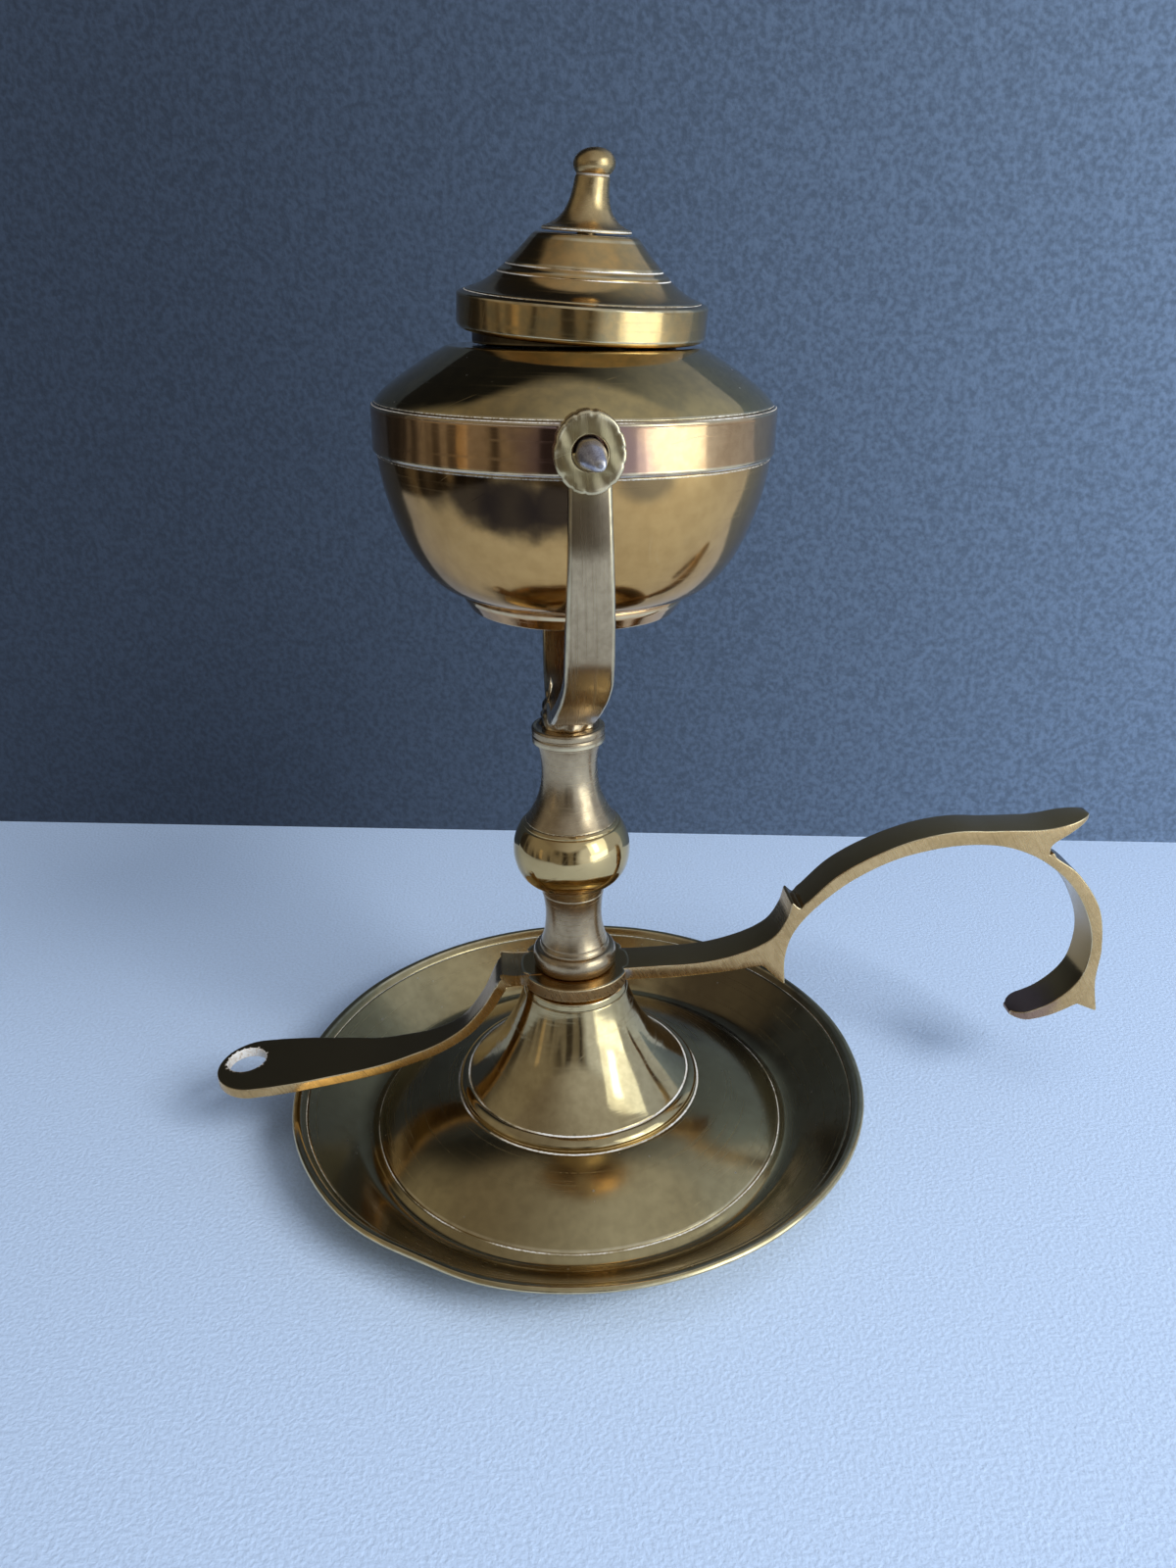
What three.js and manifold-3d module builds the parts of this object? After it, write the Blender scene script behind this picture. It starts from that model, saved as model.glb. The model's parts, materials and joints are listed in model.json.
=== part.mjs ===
// Gimbal oil lamp: a brass chamber lamp whose oil font swings between the arms of a fork.
// Millimetres, +Z up, standing on z = 0. +X runs along the handle towards its scroll and
// the font swings about Y. The pose is the one the lamp was found in: the fork's front arm
// is bent over, the font hangs a little out of true and the lid sits cocked on its neck.

import * as THREE from 'three';
import { mergeVertices } from 'three/addons/utils/BufferGeometryUtils.js';
import Module from 'manifold-3d';

const wasm = await Module();
wasm.setup();

// Fits. Flat faces of the upright stand touch; every other fit keeps one of these gaps.
const seamGap = 0.3;
const rodClearance = 0.3;
const swingClearance = 0.6;
const pivotClearance = 0.35;
const wickClearance = 0.3;
const burnerClearance = 0.5;

// Dish: a turned pan whose domed middle carries the pedestal.
const dishRadius = 60;
const dishHeight = 12.5;
const dishWall = 2;
const dishLip = 1.5;
const domeFootRadius = 43;
const domeFootStep = 1.1;
const domeFootEase = 1.4;
const moatFloorWidth = 2.4;
const seatHeight = 11.1;

// Pedestal: a hollow bell with a beaded foot.
const pedestalFootRadius = 25.1;
const pedestalBead = 2.3;
const bellFootRadius = 23;
const pedestalTopRadius = 10.3;
const pedestalHeight = 25.2;
const bellWall = 2.4;

// Handle: a collar plate with a scrolled finger hook on one side and a hanging tab on the other.
const handleThickness = 2.8;
const collarRadius = 11.2;
const barWidth = 8;
const thumbRound = 7;
const tabThickness = 2.2;
const tabReach = 75.4;
const tabShoulder = 15.5;
const tabShoulderWidth = 9;
const tabWaistWidth = 5.4;
const tabWaistAt = 24;
const paddleRadius = 8.4;
const paddleLength = 4;
const hangHoleRadius = 3.9;
const hangHoleInset = 5.7;
const hangHoleSide = 1.9;
const nickRadius = 0.8;

// Stem: a turned baluster with a round knop.
const stemHeight = 51.8;
const stemBaseRadius = 7.6;
const stemBulgeRadius = 8.4;
const stemBulgeHeight = 4.4;
const stemRingRadius = 7.2;
const lowerWaistRadius = 5.6;
const knopFootRadius = 6.9;
const knopFootHeight = 19.3;
const knopRadius = 11.4;
const knopHeight = 26.2;
const knopTopRadius = 8.9;
const knopTopHeight = 32.5;
const upperWaistRadius = 5.3;
const stemCollarRadius = 6.9;
const stemCollarHeight = 3.2;
const stemNeckRadius = 6.1;

// Fork: a strap bent to a U, with an eye at each end and a peg that sits in the stem.
const forkThickness = 2.8;
const forkRootHeight = 2;
const forkRootRadius = 4.9;
const forkPegRadius = 3;
const forkPegLength = 6;
const pivotRise = 53.8;
const forkStraight = 11.3;
const armEyeWidth = 6.3;
const armFootWidth = 8;
const eyeRadius = 5.15;
const eyeProud = 0.9;
const pivotOffset = 2.5;
const frontArmSet = 2.3;
const rearArmSet = 0.6;
const armSetBy = 0.3;
const armTaperFrom = 0.25;

// Pivot pins: iron studs fixed in the font's band, worn to a point outside the eyes.
const pinRadius = 2.1;
const pinStub = 0.6;
const pinPoint = 3.4;
const pinTipRadius = 0.7;
const frontPinBend = 2;
const bendPower = 1.5;

// Tie rod that draws the dish, pedestal, handle and stem together.
const tieRodRadius = 2.5;
const tieRodGrip = 16;
const washerRadius = 8;
const washerThickness = 1;
const nutRadius = 6;
const nutThickness = 4;
const tieRodTail = 0.8;

// Font: two bowls joined under a band, on a turned foot. Heights run from the pivot.
const bandRadius = 33.8;
const bandThickness = 1.5;
const bandUpper = 3.7;
const bandLower = 4.1;
const bandProud = 0.6;
const fontWall = 1.6;
const bowlDepth = 27.3;
const footRadius = 19.7;
const footBottomRadius = 18.2;
const footHeight = 3.4;
const bowlFloorMargin = 1.1;
const shoulderHeight = 12.5;
const shoulderTopRadius = 20.9;
const ballastRadius = 16;
const ballastHeight = 5;
const ballastShift = 1;

// Neck and burner: a drop-in plate with two wick tubes.
const neckRadius = 16.8;
const neckWall = 1.4;
const neckHeight = 2.4;
const plateThickness = 1;
const plateSpigot = 2;
const tubeSpacing = 12;
const tubeRadius = 2.6;
const tubeWall = 0.6;
const tubeAbove = 3;
const tubeBelow = 6;
const wickAbove = 0.8;
const wickFloorGap = 1;

// Lid: a loose cap over the burner, with a turned finial held by a nut.
const lidRadius = 20.4;
const lidEdgeRound = 0.6;
const lidBandHeight = 5.9;
const lidShelfRadius = 19;
const reedFootRadius = 14.1;
const reedFootHeight = 8.7;
const reedTopRadius = 12.6;
const reedTopHeight = 10;
const lidTopRadius = 9;
const lidTopRound = 0.8;
const lidHeight = 14.7;
const lidWall = 1.3;
const finialFootRadius = 7.2;
const finialFootEdge = 0.5;
const finialNeckRadius = 2.75;
const finialNeckHeight = 8.1;
const finialKnobRadius = 3.3;
const finialHeight = 11.9;
const finialStudRadius = 1.5;
const finialNutRadius = 2.8;
const finialNutThickness = 1.4;

// How the lamp was found, in degrees and millimetres. The lid's low side lies lidCockTurn from +X.
const fontTilt = 1.8;
const lidCock = 4.6;
const lidCockTurn = -54;
const lidShift = 1;
const finialLean = 0.9;

// Curve shares: where a curve's two handles lie in the box between its ends.
const domeCrown = [0.33, 0.16, 0.67, 0.43];
const rimSweep = [0.35, 0.32, 0.7, 0.7];
const beadRound = [-0.3, 0.55, 0.45, 1];
const bellFlare = [0.36, 0.18, 0.8, 0.5];
const waistIn = [0.6, 0.25, 1, 0.6];
const waistOut = [0, 0.4, 0.42, 0.72];
const knopLower = [0.55, 0.02, 1, 0.45];
const knopUpper = [0.02, 0.5, 0.5, 0.85];
const bowlBelly = [0.52, 0.06, 0.93, 0.56];
const shoulderSlope = [0.075, 0.21, 0.42, 0.56];
const roofSweep = [0.35, 0.18, 0.75, 0.55];
const coneSweep = [0.4, 0.35, 0.75, 0.7];
const finialFlare = [0.62, 0.1, 1, 0.34];
const knobRound = [0, 0.55, 0.4, 1];
const pinTaper = [0.1, 0.4, 0.6, 0.8];

// Facets of the turned pieces and steps of the curves.
const dishFacets = 44;
const pedestalFacets = 32;
const fontFacets = 36;
const stemFacets = 24;
const smallFacets = 16;
const nutFacets = 6;
const nickFacets = 8;
const curveSteps = 4;
const forkSteps = 22;
const armSteps = 2;
const edgeSteps = 2;
const boreFacets = 24;

// Heights of the stand, from the table up.
const handleZ = seatHeight + pedestalHeight;
const stemZ = handleZ + handleThickness;
const forkZ = stemZ + stemHeight;
const pivotZ = forkZ + pivotRise;
const rodHole = tieRodRadius + rodClearance;
const forkInner = bandRadius + swingClearance;
const forkOuter = forkInner + forkThickness;
const eyeFace = forkOuter + eyeProud;

// Helpers.

// Carries an outline from its current point to (r, z) along a curve given by its shares.
function curveTo(path, r, z, [r1, z1, r2, z2]) {
  const { x, y } = path.currentPoint;
  path.bezierCurveTo(x + (r - x) * r1, y + (z - y) * z1, x + (r - x) * r2, y + (z - y) * z2, r, z);
  return path;
}

// The shares of the same curve drawn from its other end.
function reversed([r1, z1, r2, z2]) {
  return [1 - r2, 1 - z2, 1 - r1, 1 - z1];
}

// Turns an outline of radius and height about Z. The outline runs up the outside.
function turned(path, facets) {
  const geometry = new THREE.LatheGeometry(path.getPoints(curveSteps), facets);
  return geometry.rotateX(Math.PI / 2);
}

// A round bar along Z, from height low to height high.
function bar(radius, low, high, facets = smallFacets) {
  const geometry = new THREE.CylinderGeometry(radius, radius, high - low, facets);
  return geometry.rotateX(Math.PI / 2).translate(0, 0, (low + high) / 2);
}

// A round bar along Y, from y = low to y = high.
function crossBar(radius, low, high, facets = smallFacets) {
  return new THREE.CylinderGeometry(radius, radius, high - low, facets).translate(0, (low + high) / 2, 0);
}

// A shape drawn in X and Z, made a plate of this width along Y.
function plateAlongY(shape, width) {
  const options = { depth: width, bevelEnabled: false, curveSegments: edgeSteps };
  const geometry = new THREE.ExtrudeGeometry(shape, options);
  return geometry.rotateX(Math.PI / 2).translate(0, width / 2, 0);
}

// Bends the far end of a piece over by shift: share is 0 where the bend starts and 1 at the tip.
function bent(geometry, share, shift) {
  const { position } = geometry.attributes;
  const point = new THREE.Vector3();
  for (let i = 0; i < position.count; i += 1) {
    point.fromBufferAttribute(position, i);
    point.addScaledVector(shift, Math.max(0, share(point)) ** bendPower);
    position.setXYZ(i, point.x, point.y, point.z);
  }
  return geometry;
}

// A closed geometry as a solid that can be joined and cut.
function solid(geometry) {
  const bare = geometry.clone();
  bare.deleteAttribute('normal');
  bare.deleteAttribute('uv');
  const merged = mergeVertices(bare, 1e-4);
  const vertProperties = new Float32Array(merged.attributes.position.array);
  const triVerts = new Uint32Array(merged.index.array);
  return new wasm.Manifold(new wasm.Mesh({ numProp: 3, vertProperties, triVerts }));
}

// A joined or cut solid as a geometry again.
function geometryOf(body) {
  const { vertProperties, triVerts } = body.getMesh();
  const geometry = new THREE.BufferGeometry();
  geometry.setAttribute('position', new THREE.BufferAttribute(vertProperties, 3));
  geometry.setIndex(new THREE.BufferAttribute(triVerts, 1));
  geometry.computeVertexNormals();
  return geometry;
}

// Stand.

function dishGeometry() {
  const moatOuter = domeFootRadius + domeFootEase + moatFloorWidth;
  const outline = new THREE.Path();
  outline.moveTo(rodHole, seatHeight - dishWall);
  outline.lineTo(pedestalFootRadius, seatHeight - dishWall);
  curveTo(outline, domeFootRadius, domeFootStep, domeCrown);
  outline.lineTo(domeFootRadius + domeFootEase, 0);
  outline.lineTo(moatOuter + dishWall / 4, 0);
  curveTo(outline, dishRadius, dishHeight - dishLip / 2, rimSweep);
  outline.lineTo(dishRadius - dishLip / 3, dishHeight);
  outline.lineTo(dishRadius - dishLip, dishHeight);
  curveTo(outline, moatOuter - dishWall / 4, dishWall, reversed(rimSweep));
  outline.lineTo(domeFootRadius + domeFootEase, dishWall);
  outline.lineTo(domeFootRadius, dishWall + domeFootStep);
  curveTo(outline, pedestalFootRadius, seatHeight, reversed(domeCrown));
  outline.lineTo(rodHole, seatHeight);
  outline.closePath();
  return turned(outline, dishFacets);
}

function pedestalGeometry() {
  const outline = new THREE.Path();
  outline.moveTo(bellFootRadius - bellWall, 0);
  outline.lineTo(pedestalFootRadius, 0);
  curveTo(outline, bellFootRadius, pedestalBead, beadRound);
  curveTo(outline, pedestalTopRadius, pedestalHeight, bellFlare);
  outline.lineTo(rodHole, pedestalHeight);
  outline.lineTo(rodHole, pedestalHeight - bellWall);
  outline.lineTo(pedestalTopRadius - bellWall, pedestalHeight - bellWall);
  curveTo(outline, bellFootRadius - bellWall, 0, reversed(bellFlare));
  return turned(outline, pedestalFacets);
}

function stemGeometry() {
  const rodTop = tieRodGrip + seamGap;
  const pegHole = forkPegRadius + rodClearance;
  const pegFloor = stemHeight - forkPegLength - seamGap;
  const collarFoot = stemHeight - stemCollarHeight;
  const lowerWaistHeight = (stemBulgeHeight + knopFootHeight) / 2;
  const upperWaistHeight = (knopTopHeight + 2 * collarFoot) / 3;
  const outline = new THREE.Path();
  outline.moveTo(0, rodTop);
  outline.lineTo(rodHole, rodTop);
  outline.lineTo(rodHole, 0);
  outline.lineTo(stemBaseRadius, 0);
  outline.lineTo(stemBulgeRadius, stemBulgeHeight / 3);
  outline.lineTo(stemBulgeRadius, stemBulgeHeight * 2 / 3);
  outline.lineTo(stemRingRadius, stemBulgeHeight);
  curveTo(outline, lowerWaistRadius, lowerWaistHeight, waistIn);
  curveTo(outline, knopFootRadius, knopFootHeight, waistOut);
  curveTo(outline, knopRadius, knopHeight, knopLower);
  curveTo(outline, knopTopRadius, knopTopHeight, knopUpper);
  curveTo(outline, upperWaistRadius, upperWaistHeight, waistIn);
  curveTo(outline, stemNeckRadius, collarFoot, waistOut);
  outline.lineTo(stemCollarRadius, collarFoot);
  outline.lineTo(stemCollarRadius, stemHeight);
  outline.lineTo(pegHole, stemHeight);
  outline.lineTo(pegHole, pegFloor);
  outline.lineTo(0, pegFloor);
  return turned(outline, stemFacets);
}

// Handle. The scroll's side view, as smooth edges that run from one sharp corner to the next.
// Each point is x from the stem's axis and height from the middle of the collar plate.
const plateHalf = handleThickness / 2;
const scrollEdges = {
  underBar: [[collarRadius, -plateHalf], [20, -1.45], [29, -0.9], [38.2, 0.1]],
  barb: [[40.4, -2.1], [43, -4.8]],
  hookInside: [
    [42.8, 2], [44.6, 8], [49.5, 13.9], [56.5, 19.3], [66, 23.6], [78, 25.4], [88, 24], [96.2, 19.5],
    [102.6, 12.8], [106.4, 5], [107.3, -1.4], [105.8, -8], [100.6, -13.2], [93, -16.2],
  ],
  hookEnd: [[93, -17.2]],
  hookUnder: [[97, -17.1], [101.5, -16.1], [106.4, -13.8]],
  spur: [[111, -16]],
  hookOutside: [[109.6, -8.3], [109.7, 0], [107.8, 9.2], [102.4, 17.2], [95.3, 22.4]],
  underThumb: [[95.8, 24.6], [99.5, 27], [103.9, 29.2]],
  thumbTip: [[103.6, 29.9]],
  archTop: [[99, 28.9], [93, 28], [84, 28.2], [76, 28.5], [68, 27.2], [60, 24.3], [52.5, 20], [46.1, 13.4]],
  crest: [[43.7, 14.6]],
  barTop: [[42.6, 10.5], [39.7, 6.3], [33.3, 3.3], [24.7, 1.6], [collarRadius, plateHalf]],
};

function scrollShape() {
  const edge = new THREE.Shape();
  edge.moveTo(0, plateHalf);
  edge.lineTo(0, -plateHalf);
  edge.lineTo(...scrollEdges.underBar[0]);
  for (const points of Object.values(scrollEdges)) {
    edge.splineThru(points.map(([x, z]) => new THREE.Vector2(x, z)));
  }
  edge.closePath();
  return edge;
}

// What is cut from above to leave the thumb a round end: a block with half an ellipse taken out.
function thumbTrim() {
  const half = barWidth / 2;
  const roundFrom = scrollEdges.underThumb.at(-1)[0] - thumbRound;
  const past = roundFrom + 2 * thumbRound;
  const edge = new THREE.Shape();
  edge.moveTo(roundFrom, half);
  edge.absellipse(roundFrom, 0, thumbRound, half, Math.PI / 2, -Math.PI / 2, true);
  edge.lineTo(roundFrom, -barWidth);
  edge.lineTo(past, -barWidth);
  edge.lineTo(past, barWidth);
  edge.lineTo(roundFrom, barWidth);
  edge.closePath();
  const notchHeight = scrollEdges.hookOutside.at(-1)[1];
  const options = { depth: 2 * barWidth, bevelEnabled: false, curveSegments: curveSteps };
  const block = new THREE.ExtrudeGeometry(edge, options);
  return block.translate(0, 0, notchHeight);
}

// The tab's side view: the middle line of a strip that bends down from the collar, runs out
// along a spline and ends in a straight paddle.
const tabBend = [
  [-4, 0], [-13.6, -0.2], [-15.3, -1.5], [-16.4, -3.5], [-18.4, -7.1], [-22, -11.7],
  [-25.2, -14.3], [-29.5, -16.4], [-33.7, -17.7], [-42, -19.4], [-52, -20],
];
const tabDroop = 1.6;
const tabCrest = [[-7, -0.5], [-7, 1.3], [-12.5, 1.2], [-15.4, 1.7], [-14.2, -0.6]];

function tabStripShape() {
  const spline = new THREE.SplineCurve(tabBend.map(([x, z]) => new THREE.Vector2(x, z)));
  const stations = spline.getPoints(edgeSteps * (tabBend.length - 1));
  const bendEnd = stations.at(-1);
  stations.push(new THREE.Vector2(-tabReach - paddleRadius, bendEnd.y - tabDroop));
  const upper = [];
  const lower = [];
  stations.forEach((point, i) => {
    const before = stations[Math.max(i - 1, 0)];
    const after = stations[Math.min(i + 1, stations.length - 1)];
    const along = after.clone().sub(before).normalize();
    const across = new THREE.Vector2(along.y, -along.x).multiplyScalar(tabThickness / 2);
    upper.push(point.clone().add(across));
    lower.push(point.clone().sub(across));
  });
  return new THREE.Shape([...upper, ...lower.reverse()]);
}

// The tab from above: square shoulders at the collar, a narrow waist and a round paddle.
function tabPlan() {
  const shoulder = tabShoulderWidth / 2;
  const waist = tabWaistWidth / 2;
  const roundFrom = tabReach - paddleRadius;
  const waistHandle = (2 * tabShoulder + tabWaistAt) / 3;
  const edge = new THREE.Shape();
  edge.moveTo(0, shoulder);
  edge.lineTo(-tabShoulder, shoulder);
  edge.quadraticCurveTo(-waistHandle, waist, -tabWaistAt, waist);
  edge.lineTo(paddleLength - roundFrom, paddleRadius);
  edge.absarc(-roundFrom, 0, paddleRadius, Math.PI / 2, 3 * Math.PI / 2, false);
  edge.lineTo(paddleLength - roundFrom, -paddleRadius);
  edge.lineTo(-tabWaistAt, -waist);
  edge.quadraticCurveTo(-waistHandle, -waist, -tabShoulder, -shoulder);
  edge.lineTo(0, -shoulder);
  edge.closePath();
  return edge;
}

function tabSolid() {
  const planOptions = { depth: 2 * handleZ, bevelEnabled: false, curveSegments: stemFacets / 2 };
  const plan = new THREE.ExtrudeGeometry(tabPlan(), planOptions).translate(0, 0, -handleZ);
  const strip = plateAlongY(tabStripShape(), 3 * paddleRadius);
  const hole = bar(hangHoleRadius, -handleZ, 0, boreFacets);
  hole.translate(hangHoleInset - tabReach, hangHoleSide, 0);
  const crest = new THREE.Shape(tabCrest.map(([x, z]) => new THREE.Vector2(x, z)));
  return solid(strip)
    .intersect(solid(plan))
    .subtract(solid(hole))
    .add(solid(plateAlongY(crest, tabShoulderWidth)));
}

function handleGeometry() {
  let body = solid(bar(collarRadius, -plateHalf, plateHalf, stemFacets));
  const scroll = solid(plateAlongY(scrollShape(), barWidth)).subtract(solid(thumbTrim()));
  body = body.add(scroll).add(tabSolid());
  for (const [low, high] of [[-handleZ, -plateHalf], [plateHalf, handleZ]]) {
    body = body.subtract(solid(bar(collarRadius, low, high, stemFacets)));
  }
  for (const [side, width] of [[-1, tabShoulderWidth], [1, barWidth]]) {
    const nickX = side * Math.sqrt(collarRadius ** 2 - (width / 2) ** 2);
    for (const nickY of [-width / 2, width / 2]) {
      const nick = bar(nickRadius, -handleThickness, handleThickness, nickFacets);
      body = body.subtract(solid(nick.translate(nickX, nickY, 0)));
    }
  }
  return geometryOf(body.subtract(solid(bar(rodHole, -handleThickness, handleThickness))));
}

// Fork. Eases from 0 to 1 as t does, and stays level outside.
function ease(t) {
  return THREE.MathUtils.smoothstep(t, 0, 1);
}

// The strap as stations from the front eye round to the rear one, each a rectangle of four corners.
// An arm reaches its sideways set low down and then leans over to the pivot, narrowing as it climbs.
function forkStations() {
  const bendZ = pivotRise - forkStraight;
  const outerDrop = bendZ - forkRootHeight;
  const innerDrop = outerDrop - forkThickness;
  const stations = [];
  for (let i = -armSteps; i <= forkSteps + armSteps; i += 1) {
    const angle = THREE.MathUtils.clamp(i / forkSteps, 0, 1) * Math.PI;
    const lift = Math.max(-i, i - forkSteps, 0) / armSteps * forkStraight;
    const outer = [-forkOuter * Math.cos(angle), bendZ + lift - outerDrop * Math.sin(angle)];
    const inner = [-forkInner * Math.cos(angle), bendZ + lift - innerDrop * Math.sin(angle)];
    const climb = (outer[1] - forkRootHeight) / (pivotRise - forkRootHeight);
    const set = outer[0] < 0 ? frontArmSet : rearArmSet;
    const lean = (pivotOffset - set) * ease((climb - armSetBy) / (1 - armSetBy));
    const x = set * ease(climb / armSetBy) + lean;
    const taper = ease((climb - armTaperFrom) / (1 - armTaperFrom));
    const half = THREE.MathUtils.lerp(armFootWidth, armEyeWidth, taper) / 2;
    stations.push([[x - half, ...outer], [x + half, ...outer], [x + half, ...inner], [x - half, ...inner]]);
  }
  return stations;
}

// Skins a row of four-cornered stations and closes both ends.
function skinned(stations) {
  const positions = stations.flat(2);
  const index = [];
  for (let s = 0; s < stations.length - 1; s += 1) {
    for (let c = 0; c < 4; c += 1) {
      const a = 4 * s + c;
      const b = 4 * s + (c + 1) % 4;
      index.push(a, a + 4, b, b, a + 4, b + 4);
    }
  }
  const last = positions.length / 3 - 4;
  index.push(0, 1, 2, 0, 2, 3, last, last + 2, last + 1, last, last + 3, last + 2);
  const geometry = new THREE.BufferGeometry();
  geometry.setAttribute('position', new THREE.Float32BufferAttribute(positions, 3));
  geometry.setIndex(index);
  return geometry;
}

function forkGeometry() {
  let body = solid(skinned(forkStations()));
  body = body.add(solid(bar(forkRootRadius, 0, forkRootHeight + forkThickness / 2)));
  body = body.add(solid(bar(forkPegRadius, -forkPegLength, forkRootHeight)));
  for (const [low, high] of [[-eyeFace, -forkInner], [forkInner, eyeFace]]) {
    const eye = crossBar(eyeRadius, low, high, boreFacets);
    body = body.add(solid(eye.translate(pivotOffset, 0, pivotRise)));
  }
  const bore = crossBar(pinRadius + pivotClearance, -2 * forkOuter, 2 * forkOuter, boreFacets);
  body = body.subtract(solid(bore.translate(pivotOffset, 0, pivotRise)));
  return geometryOf(body);
}

// Font.

function fontBowlGeometry() {
  const spigot = bandRadius - bandThickness - seamGap;
  const lip = bandRadius - bandProud;
  const floorRadius = footRadius + bowlFloorMargin;
  const lipZ = -bandLower - seamGap;
  const outline = new THREE.Path();
  outline.moveTo(0, -bowlDepth);
  outline.lineTo(floorRadius, -bowlDepth);
  curveTo(outline, lip, lipZ, bowlBelly);
  outline.lineTo(spigot, lipZ);
  outline.lineTo(spigot, -seamGap / 2);
  outline.lineTo(spigot - fontWall, -seamGap / 2);
  outline.lineTo(spigot - fontWall, lipZ);
  curveTo(outline, floorRadius - fontWall / 2, fontWall - bowlDepth, reversed(bowlBelly));
  outline.lineTo(0, fontWall - bowlDepth);
  return turned(outline, fontFacets);
}

function fontShoulderGeometry() {
  const spigot = bandRadius - bandThickness - seamGap;
  const foot = bandRadius - bandProud;
  const footZ = bandUpper + seamGap;
  const mouth = neckRadius - neckWall;
  const outline = new THREE.Path();
  outline.moveTo(spigot - fontWall, seamGap / 2);
  outline.lineTo(spigot, seamGap / 2);
  outline.lineTo(spigot, footZ);
  outline.lineTo(foot, footZ);
  curveTo(outline, shoulderTopRadius, shoulderHeight, shoulderSlope);
  outline.lineTo(mouth, shoulderHeight);
  outline.lineTo(mouth, shoulderHeight - fontWall);
  outline.lineTo(shoulderTopRadius - fontWall / 2, shoulderHeight - fontWall);
  curveTo(outline, spigot - fontWall, seamGap + fontWall, reversed(shoulderSlope));
  outline.closePath();
  return turned(outline, fontFacets);
}

function fontBandGeometry() {
  const inner = bandRadius - bandThickness;
  const edge = bandProud / 2;
  const outline = new THREE.Path();
  outline.moveTo(inner, -bandLower);
  outline.lineTo(bandRadius - edge, -bandLower);
  outline.lineTo(bandRadius, edge - bandLower);
  outline.lineTo(bandRadius, bandUpper - edge);
  outline.lineTo(bandRadius - edge, bandUpper);
  outline.lineTo(inner, bandUpper);
  outline.closePath();
  const sockets = crossBar(pinRadius + seamGap, -2 * bandRadius, 2 * bandRadius);
  return geometryOf(solid(turned(outline, fontFacets)).subtract(solid(sockets)));
}

function fontFootGeometry() {
  const top = -bowlDepth - seamGap;
  const outline = new THREE.Path();
  outline.moveTo(0, top - footHeight);
  outline.lineTo(footBottomRadius, top - footHeight);
  outline.lineTo(footRadius, top - footHeight / 3);
  outline.lineTo(footRadius, top);
  outline.lineTo(0, top);
  return turned(outline, fontFacets);
}

// A pin along -Y from its seat in the band. Its point is bent sideways and down past the eye.
function pinGeometry(bend) {
  const seat = bandRadius - bandThickness;
  const shoulder = eyeFace + pinStub;
  const tip = shoulder + pinPoint;
  const outline = new THREE.Path();
  outline.moveTo(0, seat);
  outline.lineTo(pinRadius, seat);
  outline.lineTo(pinRadius, shoulder);
  curveTo(outline, pinTipRadius, tip, pinTaper);
  outline.lineTo(0, tip);
  const pin = turned(outline, smallFacets).rotateX(Math.PI / 2);
  return bent(pin, (point) => (-point.y - eyeFace) / (tip - eyeFace), new THREE.Vector3(bend, 0, -bend));
}

// Burner. Its plate rests on the neck; heights run from the plate's seat.
const neckTop = shoulderHeight + seamGap + neckHeight;
const plateZ = neckTop + seamGap;
const tubeX = tubeSpacing / 2;

function neckCollarGeometry() {
  const low = shoulderHeight + seamGap;
  const outline = new THREE.Path();
  outline.moveTo(neckRadius - neckWall, low);
  outline.lineTo(neckRadius, low);
  outline.lineTo(neckRadius, neckTop);
  outline.lineTo(neckRadius - neckWall, neckTop);
  outline.closePath();
  return turned(outline, fontFacets);
}

function burnerPlateGeometry() {
  const spigot = neckRadius - neckWall - burnerClearance;
  const outline = new THREE.Path();
  outline.moveTo(0, -plateSpigot);
  outline.lineTo(spigot, -plateSpigot);
  outline.lineTo(spigot, 0);
  outline.lineTo(neckRadius, 0);
  outline.lineTo(neckRadius, plateThickness);
  outline.lineTo(0, plateThickness);
  let body = solid(turned(outline, fontFacets));
  for (const side of [-1, 1]) {
    const hole = bar(tubeRadius + seamGap, -2 * plateSpigot, 2 * plateThickness);
    body = body.subtract(solid(hole.translate(side * tubeX, 0, 0)));
  }
  return geometryOf(body);
}

function wickTubeGeometry() {
  const bore = tubeRadius - tubeWall;
  const low = -plateSpigot - tubeBelow;
  const high = plateThickness + tubeAbove;
  const outline = new THREE.Path();
  outline.moveTo(bore, low);
  outline.lineTo(tubeRadius, low);
  outline.lineTo(tubeRadius, high);
  outline.lineTo(bore, high);
  outline.closePath();
  return turned(outline, smallFacets);
}

function wickGeometry() {
  const radius = tubeRadius - tubeWall - wickClearance;
  const ballastTop = fontWall + seamGap + ballastHeight - bowlDepth;
  const low = ballastTop + wickFloorGap - plateZ;
  return bar(radius, low, plateThickness + tubeAbove + wickAbove);
}

// Lid. Heights run from its lower edge.

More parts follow.
